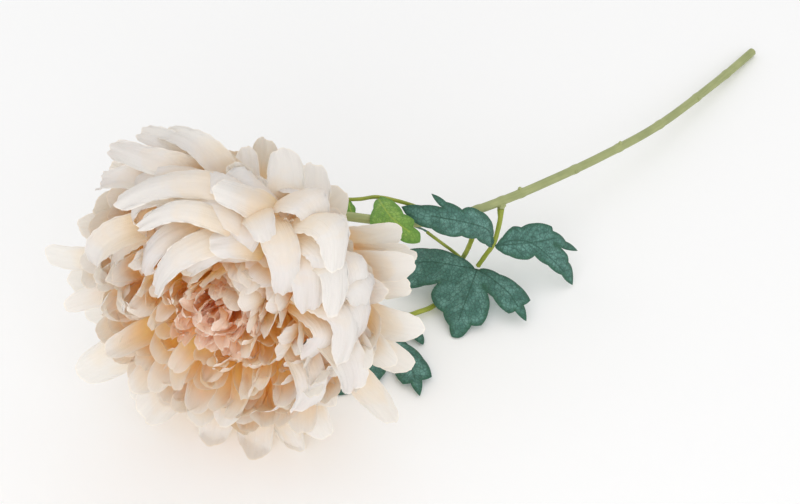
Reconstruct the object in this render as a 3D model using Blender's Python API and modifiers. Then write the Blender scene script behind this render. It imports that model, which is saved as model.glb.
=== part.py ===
"""Pompon chrysanthemum, one cut stem in silk and plastic, lying on its side.

The bloom is a core thick with cupped petals round a pink heart. It sits in a green calyx on a
wired stem that carries three plugged-on sprigs of lobed leaves. Sizes are millimetres, turned
to metres as the meshes are made.
"""
import math

import bmesh
import bpy
import numpy as np
from mathutils import Matrix, Vector
from mathutils.geometry import delaunay_2d_cdt

MM = 0.001

# Bloom frame: the base lies at BLOOM_BASE and the flower looks along BLOOM_AXIS
BLOOM_BASE = np.array([0.0, 0.0, 80.0])
BLOOM_AXIS = np.array([-0.30, -0.9255, 0.2326])
PETAL_THICKNESS = 0.8
PETAL_ROWS = (0, 0.5, 0.8, 1)
FLORET_ROWS = (0, 0.6, 1)
SEPAL_ROWS = (0, 0.4, 0.75, 1)
BLUNTNESS = 0.3
LEAF_THICKNESS = 0.8
GAP = 0.3
FLOOR_CLEARANCE = 0.25
# A petal that meets the table runs forward along it, by this much of what it would sink
SPLAY = 0.8

# Pieces turned about the bloom's axis, as pairs of radius and height: the core, whose socket
# holds the heart, then the heart's own core and the calyx
CORE_SIDES = 14
HEART_RADIUS = 15.2
HEART_SEAT = 30.0
HEART_TOP = 80.0
SOCKET_RADIUS = HEART_RADIUS + GAP
CALYX_TOP = -1.0
CORE_BASE = CALYX_TOP + GAP
CORE_PROFILE = [
    (0, HEART_SEAT), (SOCKET_RADIUS, HEART_SEAT), (SOCKET_RADIUS, 44), (22, 46), (34, 42),
    (44, 30), (44, 18), (32, 8), (13, CORE_BASE), (0, CORE_BASE),
]
HEART_PROFILE = [
    (0, 46), (6, 45), (10, 42), (13, 37), (HEART_RADIUS, HEART_SEAT + GAP), (0, HEART_SEAT + GAP),
]
CALYX_PROFILE = [
    (0, CALYX_TOP), (12, CALYX_TOP), (12, -3.5), (9, -7), (4.5, -10.5), (3.6, -12), (0, -12),
]

# The whole part is moved so that its box is centred over the origin
CENTRE = (90.5, 89.9)

GOLDEN_TURN = math.radians(137.508)
# Petals that meet over the middle of the bloom lean down from this azimuth
TOP_OF_BLOOM = math.radians(75)
FILL = 52

# Petals that fill the face, from the heart (k = 0) to the rim (k = 1):
# k, tip reach, tip height, leaving angle, arriving angle, width, cup, claw
FILL_PROFILE = np.array([
    [0.00, 14, 50, 8, -10, 11, 0.95, 0.50],
    [0.15, 20, 55, 18, -15, 12.5, 0.90, 0.45],
    [0.30, 29, 59, 32, -20, 14, 0.85, 0.40],
    [0.50, 41, 61, 48, -5, 17, 0.75, 0.36],
    [0.70, 54, 57, 62, 15, 19, 0.62, 0.32],
    [0.85, 65, 50, 72, 35, 20, 0.52, 0.30],
    [1.00, 76, 38, 80, 60, 22, 0.45, 0.28],
])

# Outermost petals: azimuth, reach, height, width
GUARD_PETALS = [
    (20, 92, 22, 22), (7, 85, 16, 23), (-10, 90, 20, 25), (-24, 91, 8, 20), (-37, 100, 20, 23),
    (-47, 80, 10, 20), (-55, 88, 28, 20), (-68, 96, 24, 24), (-80, 97, 27, 25), (-94, 95, 28, 20),
    (-110, 92, 34, 27), (-124, 92, 32, 22), (-136, 100, 32, 24), (-149, 92, 22, 22),
    (-161, 92, 24, 22), (-175, 100, 30, 17), (166, 78, 24, 22), (156, 72, 18, 22),
    (148, 84, 14, 22), (135, 87, 14, 24), (121, 82, 10, 22), (106, 60, 10, 20), (96, 66, 6, 20),
    (80, 76, 12, 21), (66, 66, 4, 22), (53, 70, 8, 25), (38, 84, 12, 22), (29, 88, 16, 20),
    (-74, 97, 6, 22), (-92, 97, 4, 22), (-110, 101, 6, 22),
]

# Petals that arch over the face, each through two points to its tip, every point an
# azimuth, a reach and a height; then width and cup
ARCHING_PETALS = [
    ((79, 62, 66), (93, 72, 78), (118, 61, 72), 12, 0.5),
    ((78, 56, 62), (94, 54, 76), (146, 35, 66), 14, 0.5),
    ((76, 52, 60), (83, 51, 72), (110, 30, 64), 14, 0.5),
    ((76, 66, 60), (71, 62, 68), (70, 44, 64), 16, 0.5),
    ((64, 72, 66), (56, 69, 74), (42, 48, 64), 17, 0.4),
    ((80, 73, 56), (98, 79, 66), (127, 68, 58), 15, 0.6),
    ((84, 66, 50), (105, 70, 64), (146, 57, 55), 17, 0.6),
    ((94, 62, 42), (112, 78, 54), (133, 84, 43), 15, 0.6),
    ((92, 58, 38), (107, 78, 42), (124, 89, 36), 15, 0.6),
    ((88, 60, 38), (97, 79, 42), (116, 82, 30), 15, 0.6),
    ((72, 62, 40), (88, 82, 60), (92, 76, 66), 20, 0.6),
    ((84, 56, 35), (86, 67, 32), (90, 73, 24), 13, 0.5),
    ((68, 62, 38), (71, 74, 34), (77, 79, 24), 20, 0.7),
    ((60, 70, 48), (52, 92, 60), (37, 80, 60), 23, 0.7),
    ((59, 62, 50), (49, 79, 62), (30, 64, 61), 21, 0.7),
    ((46, 54, 48), (41, 75, 58), (22, 65, 60), 17, 0.6),
    ((31, 38, 45), (22, 61, 57), (-8, 56, 56), 18, 0.8),
    ((-15, 28, 40), (-19, 49, 50), (-48, 64, 44), 19, 0.8),
    ((36, 52, 44), (29, 74, 54), (14, 67, 49), 20, 0.6),
    ((12, 40, 40), (-2, 60, 46), (-24, 74, 38), 20, 0.6),
    ((132, 51, 50), (150, 58, 60), (-179, 57, 50), 18, 0.6),
]

HEART_FLORETS = 18
FLORET_WIDTH = 8.5

SEPALS = 20
FIRST_SEPAL = math.radians(53)
SEPAL_ROOT = (7, -4.5)
SEPAL_TIP = (33, -14)
SEPAL_WIDTH = 5.5

# Points of the stem's centre line from the calyx to the cut end
STEM_RADIUS = 2.4
STEM_STEP = 13
STEM_POINTS = [
    (3.7, 11.4, 77.1), (9.5, 29, 72.5), (19, 43, 67.5), (34, 50, 63.5), (52, 51, 60),
    (69, 51, 57), (87, 55.5, 54), (104, 65.5, 50), (123, 80, 45), (145, 100, 38),
    (180, 134, 27), (218, 174, 16), (259, 225, 6.5), (283, 256, 2.45),
]
# The swollen nodes of the stem, at these distances along X
STEM_NODES = (87, 110, 123, 134, 165, 192, 218, 243, 264)
NODE_SWELL = 1.2
NODE_LENGTH = 1.6
# Scars of plucked buds: stem node and the way they point
SCAR_RADIUS = 1.2
SCAR_HEIGHT = 1.6
BUD_SCARS = (
    (134, (-0.3, 0.2, 1.0)), (165, (0.2, -1.0, 0.3)), (192, (0.2, 0.3, 1.0)), (243, (0.3, -0.8, 0.5)),
)

# Sprigs: stem node, centre line of the petiole past its peg, and radius
PETIOLES = {
    "sprig_a_petiole": (123, [(122, 71, 38.5), (119, 63, 31), (115, 63, 22), (111, 62.5, 14)], 1.4),
    "sprig_b_petiole": (110, [(110, 70, 39), (107.5, 67.5, 29), (105.3, 70, 18), (103, 72, 9.5),
                              (99, 66, 4), (94, 54, 2.4), (87, 44, 2.3), (78, 38.5, 3),
                              (71, 34, 3.5), (63, 23, 4)], 1.5),
    "sprig_c_petiole": (87, [(79, 61, 58), (70, 63, 60.5), (58, 65, 62), (49, 63.5, 62), (40, 63, 62)], 1.1),
}
# Pegs on the stem that the petioles are plugged over, so much wider than the petioles
PEG_LENGTH = 4.6
PEG_STEP = 0.5
TWIG = ([(103, 72, 9.5), (97, 76.5, 12), (92.5, 75, 18), (84, 68.5, 33)], 0.9)

# Outlines of the leaves, flat, from one side of the foot round to the other:
# across and along the blade; then the ribs that the blade folds at
UPPER_LEAF = (
    [(4, 4), (8, 8), (12, 14), (13.5, 22), (13, 29.5), (10.5, 32.5), (11, 41.5), (12, 49.5),
     (7.5, 43), (4.5, 52), (0, 59.5), (-5, 51.5), (-4.5, 43.5), (-5, 35.5), (-2, 26.5), (0, 16),
     (-1, 7)],
    [[(6, 10.5), (6, 22), (4, 35), (1.5, 46.5)]],
)
RIGHT_LEAF = (
    [(-5.5, 1), (-13, 4), (-14.5, 8.5), (-19.5, 14), (-22.5, 24.5), (-20.5, 26), (-19, 36),
     (-18, 46), (-14.5, 30), (-13, 40), (-9.5, 42), (-7.5, 46), (0, 50.5), (-1.5, 41),
     (-2.5, 30.5), (-4, 21.5), (-0.5, 19), (2, 8.5), (2, 3)],
    [[(-6, 6.5), (-9, 16), (-7, 28.5), (-3.5, 41)], [(-9, 16), (-17, 28)]],
)
END_LEAF = (
    [(13.5, -5), (27.5, -5), (38, -2.5), (36, 1.5), (42, 7), (37.5, 11), (35.5, 20.5), (24, 17),
     (17.5, 13.5), (19.5, 21), (16, 26.5), (10.5, 29.5), (5, 36.5), (2, 42), (-1.5, 41.5),
     (-5, 36), (-6, 33), (-11, 31.5), (-12.5, 23), (-11, 16), (-5.5, 9), (-12.5, 14.5),
     (-23, 21.5), (-26, 19.5), (-33, 22.5), (-29.5, 15), (-32, 10.5), (-23.5, 4), (-12.5, 0.5),
     (-3.5, -1)],
    [[(0, 10), (0.5, 22.5), (1, 33)], [(11.5, 2), (25, 3.5), (34, 7)],
     [(-9.5, 4.5), (-20, 10.5), (-27, 17)]],
)
YOUNG_LEAF = (
    [(6, 5), (13, 12), (17, 20), (10, 21), (6, 24), (7, 30), (4, 34), (0, 36), (-3, 33),
     (-2, 29), (-5, 26), (-3, 20), (-4, 12), (-3, 5)],
    [[(2, 10), (3, 20), (1, 30)]],
)
SMALL_LEAF = (
    [(3, 3), (4.5, 7), (3.4, 10), (3.4, 13), (0, 18), (-3, 14), (-3.6, 10), (-4.5, 7), (-3, 3)],
    [[(0, 6), (0, 13)]],
)

# Each leaf: foot, tip, the way its face looks, outline, size, arch
LEAVES = {
    "leaf_a_upper": ((117.6, 61.7, 30.5), (69.5, 53, 67), (0, -0.7, 0.7), UPPER_LEAF, 1.0, 15),
    "leaf_a_right": ((119.9, 61.8, 29.8), (163, 59.5, 2), (0.1, -0.6, 0.8), RIGHT_LEAF, 1.0, 5),
    "leaf_a_end": ((110.5, 60.8, 13), (99, 23.5, 1.5), (0, -0.15, 1), END_LEAF, 1.0, 3),
    "leaf_b_small": ((83.2, 68.1, 34.2), (73, 66.5, 40), (0.5, 0.6, 0.6), SMALL_LEAF, 0.7, 1),
    "leaf_b_side": ((71.8, 32.2, 3.6), (82, 17, 2), (0.3, 0.1, 1), SMALL_LEAF, 1.0, 1),
    "leaf_b_end": ((62.5, 22.3, 4.1), (37, -17, 1.5), (0, 0, 1), END_LEAF, 1.1, 2),
    "leaf_c_large": ((58.5, 62.8, 62.4), (79, 34, 61), (0, -0.5, 0.85), YOUNG_LEAF, 1.0, 7),
    "leaf_c_small": ((43, 61.2, 62), (45.5, 53, 57), (0, -0.5, 0.85), SMALL_LEAF, 0.6, 1),
}
LEAF_FOOT = 1.2
# A leaf falls away from each rib at this slope, as far as this distance
FOLD = 0.2
FOLD_REACH = 9

# Colour and roughness of each material
COLOURS = {
    "petals": ((0.905, 0.825, 0.715, 1), 0.75),
    "heart": ((0.860, 0.560, 0.420, 1), 0.75),
    "calyx": ((0.180, 0.210, 0.060, 1), 0.55),
    "stem": ((0.320, 0.380, 0.130, 1), 0.45),
    "petiole": ((0.350, 0.380, 0.045, 1), 0.45),
    "leaf": ((0.045, 0.130, 0.105, 1), 0.65),
    "young_leaf": ((0.210, 0.370, 0.070, 1), 0.65),
}


def unit(v):
    return v / np.linalg.norm(v)


BLOOM_AXIS = unit(BLOOM_AXIS)
BLOOM_SIDE = unit(np.cross([0.0, 0.0, 1.0], BLOOM_AXIS))
BLOOM_RISE = np.cross(BLOOM_AXIS, BLOOM_SIDE)


def wobble(index, channel):
    """A repeatable number from -1 to 1, to make one petal differ from the next."""
    x = math.sin(index * 12.9898 + channel * 78.233) * 43758.5453
    return 2 * (x - math.floor(x)) - 1


def ease(x):
    x = min(1.0, max(0.0, x))
    return x * x * (3 - 2 * x)


def polar(azimuth, reach, height):
    """A point of the bloom's frame from an azimuth in radians."""
    return np.array([reach * math.cos(azimuth), reach * math.sin(azimuth), height])


def heading(angle, azimuth):
    """A direction that leans by angle from the bloom's axis, towards the azimuth."""
    return polar(azimuth, math.sin(angle), math.cos(angle))


def bloom_to_world(q):
    return BLOOM_BASE + q[0] * BLOOM_SIDE + q[1] * BLOOM_RISE + q[2] * BLOOM_AXIS


# Petals


def character(i, k):
    """What sets petal i apart: its lean, its twist and the waves of its edge."""
    return {
        "drift": 0.10 * wobble(i, 5),
        "roll": 0.5 * wobble(i, 9) * (1 - 0.6 * k),
        "twist": 0.6 * wobble(i, 10) * (1 - 0.5 * k),
        "ruffle": 1.3 * (0.6 + 0.4 * wobble(i, 11)),
        "waves": 1.6 + 0.8 * wobble(i, 12),
        "phase": 3.1 * wobble(i, 13),
        "fold": 0.35 * wobble(i, 14),
        "tip_curl": 0.25 * wobble(i, 15),
        "bend": 0.08 * wobble(i, 16),
    }


def spine_from_headings(petal, azimuth, root, tip, leave, arrive):
    """Four Bezier points of a petal that leaves and arrives at given angles to the axis."""
    start = polar(azimuth, *root)
    end = polar(azimuth + petal["drift"], *tip)
    chord = np.linalg.norm(end - start)
    out = start + heading(leave, azimuth) * chord * 0.42
    back = end - heading(arrive, azimuth + petal["drift"]) * chord * 0.38
    return [start, out, back, end], chord


def spine_through(points):
    """Four Bezier points of the cubic that passes through four given points."""
    steps = [math.sqrt(np.linalg.norm(b - a)) for a, b in zip(points, points[1:])]
    t1 = steps[0] / sum(steps)
    t2 = (steps[0] + steps[1]) / sum(steps)
    rows = [[3 * (1 - t) ** 2 * t, 3 * (1 - t) * t ** 2] for t in (t1, t2)]
    rest = [p - (1 - t) ** 3 * points[0] - t ** 3 * points[3]
            for p, t in ((points[1], t1), (points[2], t2))]
    out, back = np.linalg.solve(np.array(rows), np.array(rest))
    chord = 0.8 * sum(np.linalg.norm(b - a) for a, b in zip(points, points[1:]))
    return [points[0], out, back, points[3]], chord


def fill_petals():
    petals = []
    for i in range(FILL):
        k = (i + 0.5) / FILL
        reach, height, leave, arrive, width, cup, claw = (
            np.interp(k, FILL_PROFILE[:, 0], FILL_PROFILE[:, c]) for c in range(1, 8))
        azimuth = i * GOLDEN_TURN + 0.35 * wobble(i, 1) * (1 - 0.6 * k)
        upward = math.cos(azimuth - TOP_OF_BLOOM)
        lean = math.sin(math.pi * min(1, k * 1.1))
        over = max(0, upward) * lean
        opened = max(0, -upward) * lean
        reach *= 1 - 0.20 * over + 0.10 * opened + 0.06 * wobble(i, 2)
        height += 8 * over - 5 * opened + 6 * wobble(i, 3)
        arrive += -35 * over + 15 * opened + 14 * wobble(i, 4)
        petal = character(i, k)
        petal["spine"], petal["chord"] = spine_from_headings(
            petal, azimuth, (4 + 7 * k, 14 - 10 * k), (reach, height),
            math.radians(leave + 6 * wobble(i, 6)), math.radians(arrive))
        middle = azimuth + petal["drift"] / 2
        petal["side"] = np.array([-math.sin(middle), math.cos(middle), 0])
        petal["width"] = width * (1 + 0.14 * wobble(i, 7))
        petal["cup"] = cup * (1 + 0.3 * wobble(i, 8))
        petal["claw"] = claw
        petals.append(petal)
    return petals


def guard_petals():
    petals = []
    for i, (azimuth, reach, height, width) in enumerate(GUARD_PETALS):
        for ring in (0, 1):
            if ring == 1 and i % 2:
                continue
            j = 300 + 2 * i + ring
            petal = character(j, 1.1)
            turn = math.radians(azimuth + 7 * ring)
            petal["spine"], petal["chord"] = spine_from_headings(
                petal, turn, (12, 3 + 3 * ring), (reach - 9 * ring, height + 11 * ring),
                math.radians(92 - 14 * ring), math.radians(86 - 20 * ring + 10 * wobble(j, 4)))
            middle = turn + petal["drift"] / 2
            petal["side"] = np.array([-math.sin(middle), math.cos(middle), 0])
            petal["width"] = width
            petal["cup"] = 0.42
            petal["claw"] = 0.3
            petals.append(petal)
    return petals


def arching_petals():
    petals = []
    for i, (first, second, tip, width, cup) in enumerate(ARCHING_PETALS):
        petal = character(400 + i, 0.9)
        petal["roll"] = petal["twist"] = 0
        azimuth = math.radians(first[0])
        points = [polar(azimuth, 10, 8)]
        points += [polar(math.radians(p[0]), p[1], p[2]) for p in (first, second, tip)]
        petal["spine"], petal["chord"] = spine_through(points)
        across = unit(np.cross(points[2] - points[0], points[3] - points[2]))
        middle = azimuth + 0.5 * math.radians((tip[0] - first[0] + 180) % 360 - 180)
        petal["side"] = across * np.sign(across @ np.array([-math.sin(middle), math.cos(middle), 0]))
        petal["width"] = width
        petal["cup"] = cup
        petal["claw"] = 0.35
        petals.append(petal)
    return petals


def heart_florets():
    petals = []
    for i in range(HEART_FLORETS):
        k = (i + 0.5) / HEART_FLORETS
        petal = character(500 + i, 0.2)
        azimuth = i * GOLDEN_TURN + 0.4 * wobble(i, 21)
        reach = 2 + 11 * k + 2 * wobble(i, 22)
        height = 54 - 3 * k + 3 * wobble(i, 23)
        petal["spine"], petal["chord"] = spine_from_headings(
            petal, azimuth, (1 + 9 * k, 34), (reach, height),
            math.radians(5 + 25 * k), math.radians(-50 + 40 * k + 30 * wobble(i, 24)))
        middle = azimuth + petal["drift"] / 2
        petal["side"] = np.array([-math.sin(middle), math.cos(middle), 0])
        petal["width"] = FLORET_WIDTH + 1.5 * wobble(i, 25)
        petal["cup"] = 0.9
        petal["claw"] = 0.5
        petals.append(petal)
    return petals


def petal_point(petal, s, t):
    """A point of the petal's middle surface: s runs from root to tip, t from edge to edge."""
    round_tip = min(0.5, petal["width"] * BLUNTNESS / petal["chord"])
    s *= 1 - round_tip * (1 - math.sqrt(max(0.0, 1 - t * t)))
    a, b, c, d = petal["spine"]
    r = 1 - s
    middle = r ** 3 * a + 3 * r * r * s * b + 3 * r * s * s * c + s ** 3 * d
    along = unit(r * r * (b - a) + 2 * r * s * (c - b) + s * s * (d - c))
    across = unit(petal["side"] - along * (along @ petal["side"]))
    inward = np.cross(along, across)
    roll = petal["roll"] + petal["twist"] * s
    level = across * math.cos(roll) + inward * math.sin(roll)
    facing = inward * math.cos(roll) - across * math.sin(roll)
    half = 0.5 * petal["width"] * (petal["claw"] + (1 - petal["claw"]) * ease(s / 0.62))
    cup = petal["cup"] * (1.25 - 0.55 * s)
    sideways = half / cup * math.sin(cup * t) + petal["bend"] * s * s * petal["chord"]
    edge = petal["phase"] if t > 0 else 1.7 * petal["phase"]
    start = 2.1 if t > 0 else 0
    wave = math.sin(petal["waves"] * s * 2 * math.pi + edge + start)
    lift = half / cup * (1 - math.cos(cup * t))
    lift += petal["ruffle"] * abs(t) ** 1.5 * s * wave
    lift += petal["fold"] * abs(t) * s * s * half
    lift += petal["tip_curl"] * max(0, (s - 0.72) / 0.28) ** 2 * petal["chord"] * 0.28
    point = bloom_to_world(middle + level * sideways + facing * lift)
    sunk = max(0.0, FLOOR_CLEARANCE - point[2])
    return point + np.array([0, -SPLAY * sunk, sunk])


# Shared mesh tools


def add_object(name, mesh, collection):
    obj = bpy.data.objects.new(name, mesh)
    collection.objects.link(obj)
    return obj


def blade(name, petal, rows):
    """A petal as a thin closed blade: a grid laid on its middle surface, made solid."""
    bm = bmesh.new()
    bmesh.ops.create_grid(bm, x_segments=2, y_segments=len(rows) - 1, size=1)
    for v in bm.verts:
        row = round((v.co.y + 1) / 2 * (len(rows) - 1))
        v.co = Vector(petal_point(petal, rows[row], v.co.x) * MM)
    bmesh.ops.triangulate(bm, faces=bm.faces[:])
    mesh = bpy.data.meshes.new(name)
    bm.to_mesh(mesh)
    bm.free()
    obj = add_object(name, mesh, repeats)
    solid = obj.modifiers.new("Blade", "SOLIDIFY")
    solid.thickness = PETAL_THICKNESS * MM
    solid.offset = 0


def turned(name, profile, collection):
    """A solid turned about the bloom's axis, from (radius, height) pairs, top to bottom."""
    bm = bmesh.new()
    verts = [bm.verts.new(Vector((r, 0, h)) * MM) for r, h in profile]
    for a, b in zip(verts, verts[1:]):
        bm.edges.new((a, b))
    mesh = bpy.data.meshes.new(name)
    bm.to_mesh(mesh)
    bm.free()
    obj = add_object(name, mesh, collection)
    screw = obj.modifiers.new("Turn", "SCREW")
    screw.steps = screw.render_steps = CORE_SIDES
    screw.use_merge_vertices = True
    screw.merge_threshold = 0.00001
    columns = np.column_stack((BLOOM_SIDE, BLOOM_RISE, BLOOM_AXIS))
    matrix = [[*columns[r], BLOOM_BASE[r] * MM] for r in range(3)] + [[0, 0, 0, 1]]
    obj.matrix_world = Matrix(matrix)
    settle(obj)
    return obj


def heart_bore(name, radius, seat):
    """A cutter the shape of the space that holds the heart."""
    bore = turned(name, [(0, HEART_TOP), (radius, HEART_TOP), (radius, seat), (0, seat)], cutters)
    bore.hide_render = True
    bore.display_type = "WIRE"
    return bore


def settle(obj):
    """Applies the object's modifiers and its transform to its mesh."""
    bpy.context.view_layer.update()
    evaluated = obj.evaluated_get(bpy.context.evaluated_depsgraph_get())
    mesh = bpy.data.meshes.new_from_object(evaluated)
    mesh.transform(obj.matrix_world)
    obj.modifiers.clear()
    obj.data = mesh
    obj.matrix_world.identity()
    bm = bmesh.new()
    bm.from_mesh(mesh)
    bmesh.ops.remove_doubles(bm, verts=bm.verts[:], dist=1e-6)
    bm.to_mesh(mesh)
    bm.free()


def boolean(obj, operation, operand, solver="MANIFOLD"):
    """Joins, cuts or keeps the overlap with an object or with every object of a collection."""
    cut = obj.modifiers.new("Boolean", "BOOLEAN")
    cut.operation = operation
    cut.solver = solver
    if isinstance(operand, bpy.types.Collection):
        cut.operand_type = "COLLECTION"
        cut.collection = operand
    else:
        cut.object = operand
    settle(obj)


def join_repeats(obj):
    """Joins every blade and peg made so far to the object, and removes their own objects."""
    boolean(obj, "UNION", repeats)
    for repeat in list(repeats.objects):
        bpy.data.objects.remove(repeat)


def keep_main_body(obj):
    """Drops loose scraps and sealed hollows, and keeps the largest closed shell."""
    bm = bmesh.new()
    bm.from_mesh(obj.data)
    left = set(bm.verts)
    shells = []
    while left:
        stack = [left.pop()]
        shell = set(stack)
        while stack:
            for edge in stack.pop().link_edges:
                for v in edge.verts:
                    if v not in shell:
                        shell.add(v)
                        stack.append(v)
        left -= shell
        shells.append(shell)
    shells.sort(key=len)
    scraps = [v for shell in shells[:-1] for v in shell]
    bmesh.ops.delete(bm, geom=scraps, context="VERTS")
    bm.to_mesh(obj.data)
    bm.free()


def cutter(name, size, place):
    bm = bmesh.new()
    bmesh.ops.create_cube(bm, size=1)
    for v in bm.verts:
        v.co = Vector((v.co.x * size[0], v.co.y * size[1], v.co.z * size[2])) * MM
    mesh = bpy.data.meshes.new(name)
    bm.to_mesh(mesh)
    bm.free()
    obj = add_object(name, mesh, cutters)
    obj.location = Vector(place) * MM
    obj.hide_render = True
    obj.display_type = "WIRE"
    return obj


def smooth_line(points, step):
    """Points about every step along a smooth curve through the given ones."""
    points = [np.array(p, float) for p in points]
    ends = [2 * points[0] - points[1]] + points + [2 * points[-1] - points[-2]]
    line = []
    for a, b, c, d in zip(ends, ends[1:], ends[2:], ends[3:]):
        count = max(1, round(np.linalg.norm(c - b) / step))
        for i in range(count):
            t = i / count
            line.append(0.5 * (2 * b + (c - a) * t + (2 * a - 5 * b + 4 * c - d) * t ** 2
                               + (3 * b - a - 3 * c + d) * t ** 3))
    return line + [points[-1]]


def tube(name, line, radius, swell, resolution, collection):
    """A capped tube along the line, with its radius times swell at each point."""
    curve = bpy.data.curves.new(name, "CURVE")
    curve.dimensions = "3D"
    curve.bevel_depth = radius * MM
    curve.bevel_resolution = resolution
    curve.use_fill_caps = True
    spline = curve.splines.new("POLY")
    spline.points.add(len(line) - 1)
    for point, place, scale in zip(spline.points, line, swell):
        point.co = (*(place * MM), 1)
        point.radius = scale
    wire = add_object(name + "_line", curve, collection)
    bpy.context.view_layer.update()
    mesh = bpy.data.meshes.new_from_object(wire.evaluated_get(bpy.context.evaluated_depsgraph_get()))
    bm = bmesh.new()
    bm.from_mesh(mesh)
    bmesh.ops.remove_doubles(bm, verts=bm.verts[:], dist=1e-6)
    bmesh.ops.recalc_face_normals(bm, faces=bm.faces[:])
    bm.to_mesh(mesh)
    bm.free()
    obj = add_object(name, mesh, collection)
    obj.matrix_world = wire.matrix_world
    bpy.data.objects.remove(wire)
    return obj


def peg(name, start, run, radius):
    tube(name, [start, start + run], radius, [1, 1], 2, repeats)


# Leaves


def leaf_frame(foot, tip, facing):
    along = unit(tip - foot)
    up = unit(facing - along * (facing @ along))
    return along, np.cross(along, up), up


def rib_distance(flat, ribs):
    nearest = 1e9
    for rib in ribs:
        for a, b in zip(rib, rib[1:]):
            run = np.array(b, float) - np.array(a, float)
            part_way = min(1, max(0, (flat - a) @ run / (run @ run)))
            nearest = min(nearest, np.linalg.norm(flat - a - run * part_way))
    return nearest


def leaf_height(flat, ribs, length, arch):
    """How far the blade stands above its flat outline: arched lengthwise and folded at each rib."""
    out = min(1.0, np.linalg.norm(flat) / length)
    fall = FOLD * min(FOLD_REACH, rib_distance(flat, ribs)) * min(1, out * 4)
    return arch * 3.2 * out * (1 - out) - fall


def leaf(name, foot, tip, facing, shape, size, arch, collection):
    """A lobed blade filled between its cut edge and its ribs, then arched and given thickness."""
    foot, tip, facing = (np.array(v, float) for v in (foot, tip, facing))
    along, aside, up = leaf_frame(foot, tip, facing)
    edge = [np.array(p) * size for p in shape[0]]
    ribs = [[np.zeros(2)] + [np.array(p) * size for p in rib] for rib in shape[1]]
    length = max(np.linalg.norm(p) for p in edge)
    half_foot = math.copysign(LEAF_FOOT, edge[0][0] - edge[-1][0])
    flat = [np.array([half_foot, 0.0])] + edge + [np.array([-half_foot, 0.0])]
    turn = sum(a[0] * b[1] - b[0] * a[1] for a, b in zip(flat, flat[1:] + flat[:1]))
    if turn < 0:
        flat.reverse()
    edges = [(i, (i + 1) % len(flat)) for i in range(len(flat))]
    for rib in ribs:
        start = len(flat)
        flat += rib[1:]
        edges += [(i, i + 1) for i in range(start, len(flat) - 1)]
    outline = list(range(len(edge) + 2))
    points, _, faces, *_ = delaunay_2d_cdt([Vector(p) for p in flat], edges, [outline], 1, 0.01)
    bm = bmesh.new()
    verts = []
    for p in points:
        q = np.array(p)
        place = foot + along * q[1] + aside * q[0] + up * leaf_height(q, ribs, length, arch)
        place[2] = max(LEAF_THICKNESS / 2 + 0.05, place[2])
        verts.append(bm.verts.new(Vector(place * MM)))
    for face in faces:
        bm.faces.new([verts[i] for i in face])
    bmesh.ops.recalc_face_normals(bm, faces=bm.faces[:])
    mesh = bpy.data.meshes.new(name)
    bm.to_mesh(mesh)
    bm.free()
    obj = add_object(name, mesh, collection)
    solid = obj.modifiers.new("Blade", "SOLIDIFY")
    solid.thickness = LEAF_THICKNESS * MM
    solid.offset = 0
    settle(obj)
    return obj


# Pieces


def make_petals():
    petals = turned("petals", CORE_PROFILE, part)
    for i, petal in enumerate(fill_petals() + guard_petals() + arching_petals()):
        blade(f"petal_{i}", petal, PETAL_ROWS)
    join_repeats(petals)
    boolean(petals, "DIFFERENCE", heart_bore("heart_room", SOCKET_RADIUS, HEART_SEAT + 0.01))
    boolean(petals, "DIFFERENCE", table)
    keep_main_body(petals)
    return petals


def make_heart():
    heart = turned("heart", HEART_PROFILE, part)
    for i, petal in enumerate(heart_florets()):
        blade(f"floret_{i}", petal, FLORET_ROWS)
    join_repeats(heart)
    boolean(heart, "INTERSECT", heart_bore("heart_limit", HEART_RADIUS, HEART_SEAT))
    keep_main_body(heart)
    return heart


def make_calyx():
    calyx = turned("calyx", CALYX_PROFILE, part)
    for i in range(SEPALS):
        azimuth = FIRST_SEPAL + i * 2 * math.pi / SEPALS
        sepal = character(600 + i, 1.0)
        sepal["ruffle"] = 0.4
        sepal["tip_curl"] = 0
        tip = (SEPAL_TIP[0] + 3 * wobble(i, 32), SEPAL_TIP[1] + 2 * wobble(i, 33))
        sepal["spine"], sepal["chord"] = spine_from_headings(
            sepal, azimuth, SEPAL_ROOT, tip, math.radians(95), math.radians(125))
        sepal["side"] = np.array([-math.sin(azimuth), math.cos(azimuth), 0])
        sepal["width"] = SEPAL_WIDTH
        sepal["cup"] = 0.4
        sepal["claw"] = 0.7
        blade(f"sepal_{i}", sepal, SEPAL_ROWS)
    join_repeats(calyx)
    keep_main_body(calyx)
    return calyx


def stem_point(x):
    line = smooth_line(STEM_POINTS, STEM_STEP)
    return np.array([np.interp(x, [p[0] for p in line], [p[c] for p in line]) for c in range(3)])


def stem_stations():
    """Distances along X of the stem's rings: three at each node, and the others clear of them."""
    line = smooth_line(STEM_POINTS, STEM_STEP)
    rings = {round(p[0], 3) for p in line}
    rings |= {node + d for node in STEM_NODES for d in (-NODE_LENGTH, 0, NODE_LENGTH)}
    stations = []
    for x in sorted(rings):
        clear = all(abs(x - node) > 2.2 or abs(x - node) < 1.7 for node in STEM_NODES)
        if clear and line[0][0] <= x <= line[-1][0]:
            stations.append(x)
    return stations


def make_stem():
    stations = stem_stations()
    swell = [NODE_SWELL if x in STEM_NODES else 1.0 for x in stations]
    stem = tube("stem", [stem_point(x) for x in stations], STEM_RADIUS, swell, 3, part)
    for node, route, radius in PETIOLES.values():
        way = unit(np.array(route[0]) - stem_point(node))
        peg(f"peg_{node}", stem_point(node), way * PEG_LENGTH, radius + PEG_STEP)
    for node, way in BUD_SCARS:
        reach = STEM_RADIUS + SCAR_HEIGHT
        peg(f"bud_scar_{node}", stem_point(node), unit(np.array(way)) * reach, SCAR_RADIUS)
    join_repeats(stem)
    keep_main_body(stem)
    return stem


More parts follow.
